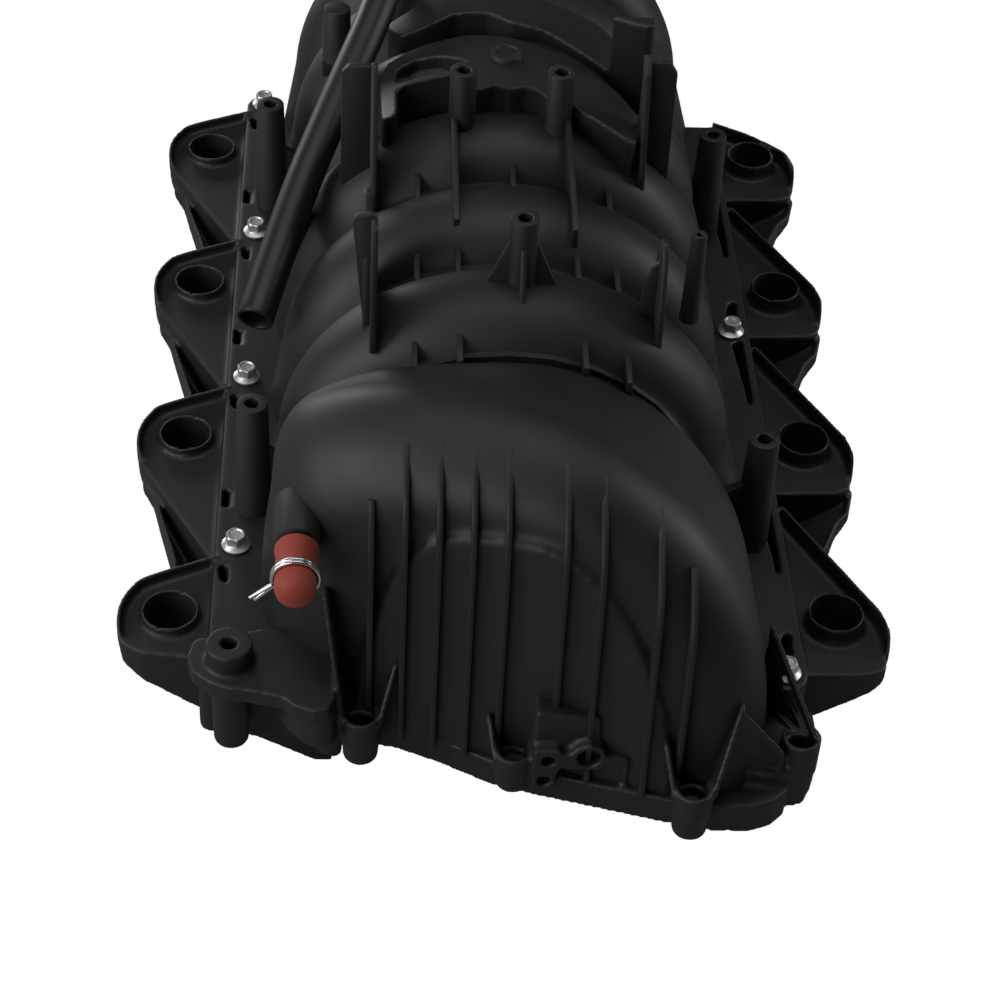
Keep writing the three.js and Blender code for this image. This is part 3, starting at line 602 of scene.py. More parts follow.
def roofRing(y, extra=0.0, bend=0.0):
    # one closed section of the roof; extra pulls it in, bend is how far it belongs to the rear wall
    toDome = easeStep(-y, -roof["domeFrontY"] - 1, -roof["domeFrontY"] + 7)
    depth = grooveDepth(y) + extra
    bottom = roof["skirtZ"] if y < -190 else roof["deckZ"] - 4
    drop = roof["frontDrop"] * (1 - easeStep(-y, 132, 172)) * toDome
    points = []
    for i in range(sectionCount):
        p = bandCurve[i].lerp(domeCurve[i], toDome)
        q = p + bandNormals[i].lerp(domeNormals[i], toDome) * depth
        share = clamp((q.y - roof["deckZ"]) / (roof["crestZ"] - roof["deckZ"]))
        rise = roof["crestRise"] * y * share * (1 - toDome) - drop * share
        z = max(q.y + rise, bottom)
        points.append((q.x, y - bend * (roof["skew"] * (q.x + 30) + roof["lean"] * (130 - z)), z))
    for x in (points[-1][0], 0.0, points[0][0]):
        points.append((x, y - bend * (roof["skew"] * (x + 30) + roof["lean"] * (130 - bottom)), bottom - 0.01))
    return points


def roofSolid(bm):
    rings = []
    start = roof["domeRearY"] + roof["rearRound"]
    y = roof["frontY"]
    while y > start:
        rings.append(roofRing(y, 0.0, easeStep(-y, 112, 166)))
        y -= 1.7
    steps = 24
    for k in range(steps + 1):
        a = math.pi / 2 * k / steps
        rings.append(roofRing(start - roof["rearRound"] * math.sin(a), roof["rearInset"] * (1 - math.cos(a)), 1.0))
    part = bmesh.new()
    loft(part, rings)
    mergeInto(bm, part)


def rearFaceY(x, z):
    return roof["domeRearY"] - roof["skew"] * (x + 30) - roof["lean"] * (130 - z)


def archZ(x, y=0.0):
    share = math.sqrt(max(0.0, 1 - ((x - roof["middle"]) / roof["half"]) ** 2))
    return roof["waistZ"] + (roof["crestZ"] + roof["crestRise"] * y - roof["waistZ"]) * share


rearWall = {
    "arch": [(-64, 30), (-61, 70), (-55, 97), (-47, 122), (-33, 141), (-12, 148), (14, 148), (34, 133), (49, 107), (60, 75), (66, 30)],
    "archProud": 3.4,
    # foot centre, foot bottom, rim height, then the side plates as four corners each
    "wells": [
        ((-60, -219.5), 33.6, 58, [
            [(-67.2, -224.5, 55), (-74.8, -204, 107.5), (-74.8, -192, 104), (-67.2, -198, 50)],
            [(-52.9, -225.0, 55), (-46.0, -211, 77), (-46.0, -202, 77), (-52.9, -203, 50)]]),
        ((1.5, -233.5), 33.5, 53, [
            [(-5.9, -238, 50), (-8.9, -225, 62), (-8.9, -214, 62), (-5.9, -216, 46)],
            [(8.7, -239, 50), (10.8, -227, 65), (10.8, -219, 65), (8.7, -220, 46)]]),
        ((72, -254.9), 30.0, 55, [
            [(64.3, -258.5, 52), (60.4, -246, 69), (60.4, -234, 69), (64.3, -236, 46)],
            [(79.6, -259, 52), (89.6, -241, 85.5), (89.6, -228, 85.5), (79.6, -236, 46)]]),
        ((117, -231.8), 29.0, 60, [
            [(89.0, -241.2, 85.5), (109.6, -239.4, 58), (110.5, -236.5, 40), (86, -240, 40)],
            [(124.0, -234, 58), (103.5, -205, 97), (103.5, -203, 50), (124.0, -224, 40)]]),
    ],
    "wellR": 8.1, "wellBore": 6.0, "seamZ": 42,
    "lip": [(-100, -190), (-74, -199), (-60, -206), (-45, -209.5), (-28, -217), (-6.7, -228.6), (9.8, -233.8), (36, -241),
            (61.7, -248), (84, -253), (97, -251), (108, -246), (113, -236), (116, -222), (108, -196), (60, -190)],
    "lipZ": (25.5, 39.5),
    "ribs": [(-57, 152), (-44, 171), (-31, 174.5), (-18, 176), (-5, 176.5), (17, 174.5), (31, 170), (53, 158.5), (66, 144)],
    "ribThick": 2.5, "ribProud": 7.5,
}


def slantPlate(bm, corners, thick):
    # a plate through four or more points, given some thickness across its own plane
    part = bmesh.new()
    pts = [Vector(c) for c in corners]
    normal = (pts[1] - pts[0]).cross(pts[2] - pts[0]).normalized() * (thick / 2)
    loft(part, [[p + normal for p in pts], [p - normal for p in pts]])
    mergeInto(bm, part)


def archPad(bm):
    # the rear wall stands a little proud inside a broad arch
    part = bmesh.new()
    outline = smoothPath([Vector(p) for p in rearWall["arch"]], 5)
    loft(part, [[(p.x, rearFaceY(p.x, p.y) + d, p.y) for p in outline] for d in (6, -rearWall["archProud"])])
    mergeInto(bm, part)


def gapWebSolids(bm):
    # cross webs between the runners
    for y, xs in gapWebs:
        for x in xs:
            top = archZ(x, y) - 7.5
            prism(bm, [(y - 11, top - 22), (y + 11, top - 22), (y + 9, top), (y - 8, top - 1)], "x", x - 1.2, x + 1.2, 0.4)


gapWebs = [
    (-bandPitch * 2, (-40, -21.6, 30, 48.3)), (-bandPitch, (-38.6, -21.4, 29.7, 47.2)),
    (0, (-37.8, 3.8, 47.1)), (bandPitch, (46.7,)), (bandPitch * 2, (-41, 39.5)),
]

cover = {
    "outline": [(-54, 26), (-49, 24), (-47, 30), (-47, 50), (-44, 53), (-18, 53), (-16, 50), (-16, 37), (-12.5, 34.5), (-8, 38), (-3, 40.5),
                (3, 36), (9, 40), (14, 39.5), (19, 33), (28, 33), (34, 27), (46, 20), (57, 14), (63, 28), (63, 46), (55, 62), (40, 75),
                (22, 84), (6, 91), (-14, 94), (-36, 90), (-51, 82), (-55, 70)],
    "pocket": [(-48, 57), (-20, 57), (-16, 62), (-18, 69), (-27, 74.5), (-38, 76), (-47, 72)],
    "front": [(-46, 99), (-34, 101), (-20, 109), (-4, 108), (6, 100), (22, 96.5), (34, 89), (46, 82), (60, 74), (70, 70), (70, 100),
              (50, 120), (0, 132), (-30, 128), (-52, 114)],
    "rearZ": 188.5, "slope": 0.14, "fall": 0.0046, "pocketZ": 168,
}


def coverZ(x, y):
    return cover["rearZ"] - cover["slope"] * (y - 36) - cover["fall"] * (x + 2) ** 2


def skyAbove(bm, low, high, height):
    # everything over a height field, used to shape the top of a plate
    steps = 26
    xs = [low[0] + (high[0] - low[0]) * i / steps for i in range(steps + 1)]
    rings = []
    for j in range(steps + 1):
        y = low[1] + (high[1] - low[1]) * j / steps
        rings.append([(x, y, height(x, y)) for x in xs] + [(high[0], y, 240), (low[0], y, 240)])
    part = bmesh.new()
    loft(part, rings)
    mergeInto(bm, part)


def coverPlates():
    # the raised covers over two runners: a kidney pocket, a scalloped rear edge, and a second cover ahead
    plate, sky, pockets = bmesh.new(), bmesh.new(), bmesh.new()
    prism(plate, rounded(cover["outline"], 3, 5), "z", 150, 200)
    skyAbove(sky, (-62, 5), (72, 97.2), coverZ)
    prism(pockets, rounded(cover["pocket"], 4, 5), "z", cover["pocketZ"], 220)
    second, over = bmesh.new(), bmesh.new()
    prism(second, rounded(cover["front"], 4, 5), "z", 150, 200)
    skyAbove(over, (-62, 80), (72, 140), lambda x, y: 183 - 0.0048 * (x + 2) ** 2 - 0.04 * (y - 110))
    first = moulded([("add", plate), ("cut", sky), ("cut", pockets)], 0.9, 3)
    other = moulded([("add", second), ("cut", over)], 0.9, 3)
    mergeInto(first, other)
    return first


def makeShellMoulding():
    bm = bmesh.new()
    roofSolid(bm)
    archPad(bm)
    return moulded([("add", bm)], 1.5, 5)


# crisp features that stand on the skin: ribs, bosses, posts, towers and fins
def domeHeight(x):
    for (x0, z0), (x1, z1) in zip(domeSection, domeSection[1:]):
        if x0 <= x <= x1 and x1 > x0:
            return z0 + (z1 - z0) * (x - x0) / (x1 - x0)
    return domeSection[-1][1]


def domeBackY(x, z):
    # the rear surface at this height, rounding included
    turn = clamp(1 - (domeHeight(x) - z) / roof["rearInset"], 0.0, 1.0)
    return rearFaceY(x, z) + roof["rearRound"] * (1 - math.sin(math.acos(turn)))


def rearRibs(bm):
    half, proud = rearWall["ribThick"] / 2, rearWall["ribProud"]
    for x, top in rearWall["ribs"]:
        outline = []
        for k in range(9):
            z = top - (top - 96) * k / 8
            outline.append((domeBackY(x, z) - proud * clamp(0.22 + k / 4.5), z))
        outline += [(rearFaceY(x, 60) - proud * 0.95, 60), (rearFaceY(x, 38) - proud, 38), (rearFaceY(x, 38) + 5, 38)]
        outline += [(domeBackY(x, z) + 5, z) for z in (90, top - 30, top - 12, top - 2)]
        prism(bm, outline, "x", x - half, x + half, 0.5)


topBoss = {"od": 12, "hole": 6, "top": 203}


def gusset(bm, x, y, foot, top, thick, axis, baseZ, width=4.6):
    outline = [(-foot, baseZ), (foot, baseZ), (foot * 0.78, baseZ + (top - baseZ) * 0.3), (width, top), (-width, top),
               (-foot * 0.78, baseZ + (top - baseZ) * 0.3)]
    if axis == "x":
        prism(bm, [(y + u, z) for u, z in outline], "x", x - thick / 2, x + thick / 2, 0.5)
    else:
        prism(bm, [(x + u, z) for u, z in outline], "y", y - thick / 2, y + thick / 2, 0.5)


def topBosses(bm):
    for x, y in ((-18.5, 28), (24.5, 28)):
        boss(bm, x, y, 160, topBoss["top"], topBoss["od"], topBoss["hole"], 16)
    boss(bm, 4, -80, 160, topBoss["top"], topBoss["od"], topBoss["hole"], 16)
    gusset(bm, 4, -80, 16.5, topBoss["top"] - 9, 2.6, "y", 165)
    gusset(bm, 4, -80, 16.5, topBoss["top"] - 9, 2.6, "x", 162)
    lathe(bm, [(0, -8), (7.4, -8), (7.4, -0.8), (6.9, 0), (5.6, 0.1), (5.2, -0.5), (4.2, -0.7), (0, -0.7)],
          (2.5, 68, coverZ(2.5, 68) + 3.2), "z", 40)
    # long low ribs that run back from the boss pair over two runners
    for x, y0, y1 in ((-22, -40, 24), (28.5, -46, 24)):
        prism(bm, [(y0, 155), (y1, 155), (y1, 181), (-6, 177.5), (y0 + 8, 174.5), (y0, 172)], "x", x - 1.3, x + 1.3, 0.6)


def nippleAndPipeSeat(bm):
    # the vacuum nipple under the cap, and the seat that carries the front end of the pipe
    root, tip = -172, -222.5
    lathe(bm, [(4, root), (9.5, root), (9.5, -192), (8.6, -195.6), (6.6, -196.4), (5.6, -203), (5.9, -204), (5.9, -220.5), (5.2, tip), (4, tip)],
          (-85.8, 0, 128.4), "y", 44)
    boss(bm, -46, 148, 150, 186.5, 13, 0, 0, 0.7, 32, drop=1.5)
    boss(bm, -90, 20, 62, 136.5, 9, 0, 0, 0.6, 28, drop=1.5)


def upperFins(bm):
    # left tower: a plate across with a long edge rib, and a thin rib beside it
    prism(bm, [(-72, 140), (-57, 140), (-57.3, 208.6), (-60, 209.5), (-69, 209), (-71.8, 206)], "y", 18.5, 21.8, 0.7)
    prism(bm, [(-6, 146), (22, 140), (22, 209.5), (19, 209.8), (14, 205), (2, 176), (-6, 160)], "x", -59, -56, 0.7)
    # right tower
    prism(bm, [(61, 138), (77, 134), (76.4, 199), (73, 204.5), (63, 204.8), (61, 202)], "y", 34, 37.2, 0.7)
    prism(bm, [(14, 144), (37, 138), (37, 207), (33.5, 208.5), (27, 203), (22, 180), (14, 160)], "x", 61, 64, 0.7)
    # left blade: an upright channel that narrows downwards, with a thin web forward of it
    prism(bm, [(-104, 150), (-92, 140), (-84, 140), (-80, 186), (-84, 205), (-90, 206.5), (-95, 206), (-101, 180)], "x", -58.5, -55.6, 0.7)
    prism(bm, [(-92, 140), (-60, 134), (-50, 140), (-48, 176), (-52, 196), (-58, 197), (-64, 188), (-88, 186)], "x", -61.5, -58.4, 0.7)
    prism(bm, [(-61, 148), (-56, 148), (-56, 206), (-58, 207), (-64.5, 206), (-66, 203)], "y", -86, -83, 0.7)
    # right fin with a rounded top
    prism(bm, [(-97, 132), (-66, 128), (-68, 168), (-74, 187), (-79, 193), (-84, 193.5), (-89, 187), (-95, 160)], "x", 60.4, 63.2, 0.8)
    prism(bm, [(54, 150), (62, 150), (62, 184), (58, 180), (55, 170)], "y", -82, -79.4, 0.6)
    # small post by the right fin, and the blind peg at the front left
    boss(bm, 79.5, -58, 135, 180, 6.6, 2.6, 8, 0.4, 24, drop=1.2)
    boss(bm, -75, 118, 150, 177.5, 12.4, 0, 0, 0.7, 30, drop=0.8)
    prism(bm, [(-82, 140), (-73, 140), (-73, 166), (-76, 164), (-82, 152)], "y", 116.6, 119.4, 0.5)


railPosts = [(-107, bankY[0] - 47, 1), (-107, bankY[2] - 47, 1), (107, bankY[0] - 65, -1), (107, bankY[2] - 65, -1)]


def railPostSolids(bm):
    for x, y, side in railPosts:
        boss(bm, x, y, 62, 121.5, 13, 6, 18, 0.5, 40, drop=1.5)
        # the web behind each post flows out of the roof as a smooth saddle
        outline = [(x, 62), (x, 104), (x + side * 8, 96), (x + side * 14, 92), (x + side * 20, 90), (x + side * 20, 62)]
        if side < 0:
            outline = outline[::-1]
        prism(bm, outline, "y", y - 2.4, y + 2.4, 0.9)


corner = {"x": -113, "y": -202.3, "top": 80, "od": 19, "hole": 6.6}


def cornerLug(bm, holes):
    lathe(bm, [(0, -25), (corner["od"] / 2 + 0.8, -25), (corner["od"] / 2, -10), (corner["od"] / 2, 0), (0, 0)],
          (corner["x"], corner["y"], corner["top"]), "z", 48)
    lathe(holes, [(0, -34), (corner["hole"] / 2, -34), (corner["hole"] / 2, -0.8), (corner["hole"] / 2 + 0.9, 2), (0, 2)],
          (corner["x"], corner["y"], corner["top"]), "z", 32)
    plate = [(-70, -200), (-80, -188), (-100, -184), (-128, -190), (-130.5, -200), (-128, -208), (-120, -214.6), (-113, -217.6), (-106, -218.4),
             (-98, -220.2), (-91, -222.0), (-86.5, -226.5), (-79, -229.6), (-73, -229), (-70.5, -223)]
    plate = plate if isAnticlockwise(plate) else plate[::-1]
    prism(bm, rounded(plate, 4), "z", 62, 69.8)
    lathe(bm, [(0, 28.6 - 62), (6.4, 28.6 - 62), (7.3, 30 - 62), (7.8, 2), (0, 2)], (-113, -206.5, 62), "z", 36)
    lower = [(-96, -190), (-96, -206), (-90, -218), (-84, -225), (-78, -228.4), (-72, -228), (-69, -222), (-68, -192)]
    prism(bm, rounded(lower if isAnticlockwise(lower) else lower[::-1], 5), "z", 46, 64)
    wall = [(-128, -188), (-126, -197), (-104, -200), (-92, -199), (-82, -203), (-76, -210), (-68, -212), (-66, -186)]
    prism(bm, rounded(wall if isAnticlockwise(wall) else wall[::-1], 5), "z", 22, 64)


def bracket(bm, holes):
    # the small fixing bracket on the rear lip
    y = -241.2
    bar = [(9, 49.5), (20, 49.8), (24.5, 48.6), (37, 48.8), (39, 51), (47.5, 52), (47.5, 55.2), (38.2, 56.2), (36.4, 60.8),
           (31, 63.2), (26.2, 61.2), (23.8, 57.6), (9, 58.8)]
    prism(bm, rounded(bar, 1.5), "y", y, y + 12)
    prism(bm, [(45.0, 40), (47.6, 40), (47.6, 55), (45.0, 55)], "y", y, y + 10)
    prism(bm, rounded([(8.6, 36), (18.6, 36), (18.6, 46.5), (20, 50), (20, 60), (8.6, 60)], 2), "y", y - 0.2, y + 12)
    prism(bm, [(8.4, 58), (24, 58), (36, 62), (35, 73), (9, 76.5)], "y", y + 5, y + 22)
    for (x, z), r in (((31, 55.4), 4.7), ((14.8, 53.9), 2.8), ((13.6, 42.2), 2.8)):
        lathe(holes, [(0, -8), (r, -8), (r, 8.5), (0, 8.5)], (x, y, z), "y", 28)


def rearMoulding():
    bm, holes, walls = bmesh.new(), bmesh.new(), bmesh.new()
    low, high = rearWall["lipZ"]
    lip = rearWall["lip"] if isAnticlockwise(rearWall["lip"]) else rearWall["lip"][::-1]
    prism(bm, rounded(lip, 6), "z", low, high)
    lobe = [(80, -222), (84, -250), (90, -252.8), (98, -252.6), (106, -249.6), (112.6, -243.5), (114, -222)]
    prism(bm, rounded(lobe if isAnticlockwise(lobe) else lobe[::-1], 6), "z", low - 0.5, 40.5)
    apron = [(94, -204), (126, -206), (126.5, -226), (121, -238), (104, -242), (90, -240)]
    prism(bm, rounded(apron if isAnticlockwise(apron) else apron[::-1], 3), "z", low, 48)
    cornerLug(bm, holes)
    bracket(bm, holes)
    r, bore, seam = rearWall["wellR"], rearWall["wellBore"], rearWall["seamZ"]
    for (x, y), foot, rim, plates in rearWall["wells"]:
        lathe(bm, [(0, foot), (6.4, foot), (7.2, foot + 1.2), (7.5, seam - 0.6), (r, seam), (r, rim), (0, rim)], (x, y, 0), "z", 40)
        lathe(holes, [(0, seam + 2), (bore - 0.6, seam + 2), (bore, rim), (bore + 1.5, rim + 8), (0, rim + 8)], (x, y, 0), "z", 36)
        # the front of the well opens into the channel between its two plates
        prism(holes, [(x - bore + 0.8, y), (x + bore - 0.8, y), (x + bore, y + 9), (x - bore, y + 9)], "z", rim - 6, rim + 30)
        for corners in plates:
            slantPlate(walls, corners, 2.4)
    return moulded([("add", bm), ("cut", holes), ("add", walls)], 0.85, 2)


shellMesh = makeShellMoulding()
print("upper shell skin:", len(shellMesh.faces), "faces")
upperSkin = placePiece(toObject(shellMesh, "upperShellSkin", [shellNylon], smoothAngle=0), ["upper_shell"])
detail = bmesh.new()
rearRibs(detail)
gapWebSolids(detail)
topBosses(detail)
nippleAndPipeSeat(detail)
upperFins(detail)
railPostSolids(detail)
placePiece(toObject(detail, "upperShellRibsAndBosses", [flangeNylon]), ["upper_shell"])
placePiece(toObject(rearMoulding(), "upperShellRearFoot", [flangeNylon], smoothAngle=0), ["upper_shell"])
placePiece(toObject(coverPlates(), "upperShellCovers", [flangeNylon], smoothAngle=0), ["upper_shell"])
print("ribs, bosses, rear wells and covers made")

# ---- port flanges: strips, ears, pockets, slots and the sloping head face ----
flangeSize = {
    "insideX": 72, "stripX": 122.6, "deckZ": 63, "endY": 194, "rimZ": 64.2, "wallZ": 52.5,
    "faceX": 84, "faceZ": 3, "slope": math.tan(math.pi / 5.85),
    "cupX": 139.3, "cupOd": 24, "boltX": 113.9, "portX": 94,
}
ears = {
    # outlines round a pocket centre: x from the middle of the engine, y from the pocket
    "left": {
        "shift": 0.0, "bolt": 39.3, "port": 7.0, "trayZ": 58.7, "bodyZ": 59.2,
        "top": [(121, -75), (125.5, -75), (159.2, -14.5), (160.8, -6), (160, 4), (156, 13.5), (149.5, 20), (121, 33)],
        "corner": [2, 4, 9, 8, 8, 8, 8, 2],
        "rim": [(122, 32.4), (149.2, 19.6), (155.6, 13.1), (159.4, 4), (160.1, -6), (158.8, -13.6)],
        "wall": [(158.5, -10), (157.6, -22), (152.5, -30), (149.3, -42), (143.6, -62), (141.0, -72), (141.5, -86)],
        "web": [(121, -92), (121, -6)],
    },
    "right": {
        "shift": 2.8, "bolt": -32.9, "port": -7.0, "trayZ": 55.0, "bodyZ": 55.4,
        "top": [(121, -30), (152, -28.8), (158.4, -25.5), (160.6, -12), (158.6, 0), (155.4, 7), (124.8, 66), (121, 67)],
        "corner": [2, 8, 6, 8, 8, 8, 2, 2],
        "rim": [(159.6, -18), (160.0, -12), (158.2, -0.5), (154.8, 6.5), (124.0, 65.4)],
        "wall": [(158, -22), (160.2, -24), (156.6, -38), (150, -46), (145.4, -57), (141, -66), (136, -76)],
        "web": [(121, -70), (121, -24)],
    },
}


def faceHeight(x):
    return max(0.0, flangeSize["faceZ"] + flangeSize["slope"] * (abs(x) - flangeSize["faceX"]))


def onHeadFace(offset):
    # drops the lower ring of a prism on to the sloping head face, this far above it
    def lean(part):
        low = min(v.co.z for v in part.verts)
        for v in part.verts:
            if v.co.z < low + 0.01:
                v.co.z = faceHeight(v.co.x) + offset
    return lean


def wallAlong(bm, path, thick, low, tops):
    # a thin upright wall along a plan path; its height may change on the way
    curve = smoothPath([Vector((p[0], p[1], t)) for p, t in zip(path, tops)], 5)
    rings = []
    for i, p in enumerate(curve):
        ahead = curve[min(i + 1, len(curve) - 1)] - curve[max(i - 1, 0)]
        side = Vector((-ahead.y, ahead.x, 0)).normalized() * (thick / 2)
        rings.append([(p.x - side.x, p.y - side.y, low), (p.x + side.x, p.y + side.y, low),
                      (p.x + side.x, p.y + side.y, p.z), (p.x - side.x, p.y - side.y, p.z)])
    part = bmesh.new()
    loft(part, rings)
    mergeInto(bm, part)


def facePlaced(bm, wide, long, corner, low, high, x, y):
    # a rounded block laid on the sloping head face with its height into the flange
    part = bmesh.new()
    outline = rounded([(-wide / 2, -long / 2), (wide / 2, -long / 2), (wide / 2, long / 2), (-wide / 2, long / 2)], corner)
    loft(part, [[(u, v, w) for u, v in outline] for w in (low, high)])
    turn = math.atan(flangeSize["slope"]) * (1 if x < 0 else -1)
    bmesh.ops.transform(part, matrix=Matrix.Rotation(turn, 4, "Y"), verts=part.verts)
    bmesh.ops.translate(part, vec=(x, y, faceHeight(x)), verts=part.verts)
    mergeInto(bm, part)


def portFlange(side):
    sign = -1 if side == "left" else 1
    ear = ears[side]
    base, recess, body, cuts, cups, bores = (bmesh.new() for _ in range(6))
    pockets = [bankY[k] + ear["shift"] for k in range(4)]
    rear = -flangeSize["endY"] + (0 if side == "left" else 2)
    front = flangeSize["endY"] + (0 if side == "left" else 2)

    def plan(points, y):
        out = [(sign * px, y + py) for px, py in points]
        return out if isAnticlockwise(out) else out[::-1]

    for k, y in enumerate(pockets):
        if not (side == "left" and k == 3) and not (side == "right" and k == 3):
            web = ear["wall"] + ear["web"]
            prism(base, plan(web, y), "z", 0, flangeSize["wallZ"], lean=onHeadFace(0.0))
            inner = insetOutline(plan(web, y), 1.9)
            prism(recess, inner, "z", 0, 90, lean=onHeadFace(3.0))
        top = ear["top"]
        corner = ear["corner"]
        rim = ear["rim"]
        if side == "right" and k == 0:
            top = top[:5] + [(154.0, 6.5), (140.6, 18.4), (121, 29.5)]
            rim = rim[:3] + [(153.4, 5.9), (140.2, 17.6), (122, 28.6)]
        if side == "left" and k == 3:
            top = [(121, -24), (150, -20.5), (158.5, -15)] + top[3:]
            corner = [2, 8, 6] + corner[3:]
        outline = rounded([(sign * px, y + py) for px, py in top], corner)
        outline = outline if isAnticlockwise(outline) else outline[::-1]
        prism(body, outline, "z", 0, ear["bodyZ"], lean=onHeadFace(0.0))
        path = [(sign * px, y + py) for px, py in rim]
        tops = [flangeSize["rimZ"]] * len(path)
        if side == "left":
            tops[-1] = ear["bodyZ"] + 1.0
        else:
            tops[0] = ear["bodyZ"] + 1.5
        wallAlong(body, path, 1.7, ear["trayZ"] - 4, tops)
    xs = sorted((sign * 79.0, sign * flangeSize["stripX"]))
    prism(body, [(xs[0], rear), (xs[1], rear), (xs[1], front), (xs[0], front)], "z", 0, flangeSize["deckZ"], lean=onHeadFace(0.0))
    xs = sorted((sign * flangeSize["insideX"], sign * 80.0))
    prism(body, [(xs[0], rear), (xs[1], rear), (xs[1], front), (xs[0], front)], "z", 0.02, flangeSize["deckZ"])
    bolts = [(sign * flangeSize["boltX"], bankY[k] + ear["bolt"]) for k in range(4)]
    lug = bolts[0] if side == "left" else bolts[3]
    ends = sorted((lug[1], lug[1] * 0.93))
    prism(body, [(lug[0] - 9, ends[0]), (lug[0] + 9, ends[0]), (lug[0] + 9, ends[1]), (lug[0] - 9, ends[1])], "z", 20, flangeSize["deckZ"])
    lathe(body, [(0, 20), (8, 20), (9, 22), (9, flangeSize["deckZ"]), (0, flangeSize["deckZ"])], (lug[0], lug[1], 0), "z", 36)
    # a shallow step runs the length of the strip, and cores lighten it beside the bolts and posts
    step = sorted((sign * 116.4, sign * 117.2))
    prism(cuts, [(step[0], rear + 2), (step[1], rear + 2), (step[1], front - 2), (step[0], front - 2)], "z", flangeSize["deckZ"] - 0.9, 80)
    for k, y in enumerate(pockets):
        if side == "left":
            core = [(-117.8, y + 29), (-121, y + 27), (-120, y + 20), (-116.2, y + 15)]
            slot = [(-121.2, y - 36), (-118.6, y - 36), (-118.6, y - 48), (-121.2, y - 48)]
            prism(cuts, rounded(slot, 1.2), "z", 34, 80)
        else:
            core = [(119, y - 12), (115, y - 13), (113, y - 22), (118, y - 26)]
            slot = [(118.8, y + 71), (113.6, y + 68), (116.6, y + 30), (118.9, y + 19)]
            slot = [p for p in slot if abs(p[1]) < 191]
            if len(slot) > 2:
                prism(cuts, rounded(slot if isAnticlockwise(slot) else slot[::-1], 0.8), "z", 26, 80)
        prism(cuts, rounded(core if isAnticlockwise(core) else core[::-1], 1.2), "z", 30, 80)
        lean = Matrix.Rotation(math.radians(4 * sign), 4, "Y") @ Matrix.Rotation(math.radians(4), 4, "X")
        r, rim = flangeSize["cupOd"] / 2, flangeSize["rimZ"] - 48
        cup = [(0, 0), (r + 1.4, 0), (r + 1.0, rim - 9), (r - 0.2, rim - 6), (r, rim - 0.7), (r - 0.5, rim), (0, rim)]
        lathe(cups, cup, (sign * flangeSize["cupX"], y, 48), "z", 56)
        bowl = [(0, -9.5), (6.6, -9.5), (6.8, -7), (9.2, -5.2), (9.9, -3), (10.9, rim), (10.9, rim + 4), (0, rim + 4)]
        lathe(bores, bowl, (sign * flangeSize["cupX"], y, 48), "z", 56)
        tube(bores, [Vector((sign * flangeSize["cupX"], y, 50)), Vector((sign * 97, y, faceHeight(97) + 10))], 6.6, 28)
        facePlaced(bores, 22, 52, 6, -4, 16, sign * flangeSize["portX"], bankY[k] + (ear["shift"] if side == "right" else 0) + ear["port"])
    for x, y in bolts:
        lathe(bores, [(0, -2), (5.3, -2), (5.3, 80), (0, 80)], (x, y, 0), "z", 32)
    bm = moulded([("add", base), ("cut", recess), ("add", body), ("cut", cuts), ("add", cups), ("cut", bores)], 0.95, 2)
    print(side, "flange:", len(bm.faces), "faces")
    return placePiece(toObject(bm, side + "PortFlangeMoulding", [flangeNylon], smoothAngle=0), [side + "_port_flange"])


for side in ("left", "right"):
    portFlange(side)


# ---- lower shell: plenum floor, its walls, and the ribs under the floor ----
def makeLowerShell():
    solid, hollow = bmesh.new(), bmesh.new()
    prism(solid, [(-71.6, -190), (71.6, -190), (71.6, 222.5), (-71.6, 222.5)], "z", 22, 62.7)
    prism(hollow, [(-68, -186), (68, -186), (68, 219), (-68, 219)], "z", 25, 80)
    for x in (-40, 0, 40):
        prism(solid, [(x - 1.5, -186), (x + 1.5, -186), (x + 1.5, 219), (x - 1.5, 219)], "z", 16, 23)
    for y in (-140, -84, -28, 28, 84, 140, 190):
        prism(solid, [(-66, y - 1.4), (66, y - 1.4), (66, y + 1.4), (-66, y + 1.4)], "z", 17.5, 23)
    return moulded([("add", solid), ("cut", hollow)], 1.3, 3)


placePiece(toObject(makeLowerShell(), "lowerShellMoulding", [flangeNylon], smoothAngle=0), ["lower_shell"])


# ---- throttle end ----
throttle = {"z": 112, "bore": 88, "od": 96, "plate": 104, "frontY": 262, "backY": 223.3, "pitch": 81, "hole": 9.2, "seal": (90.2, 97)}


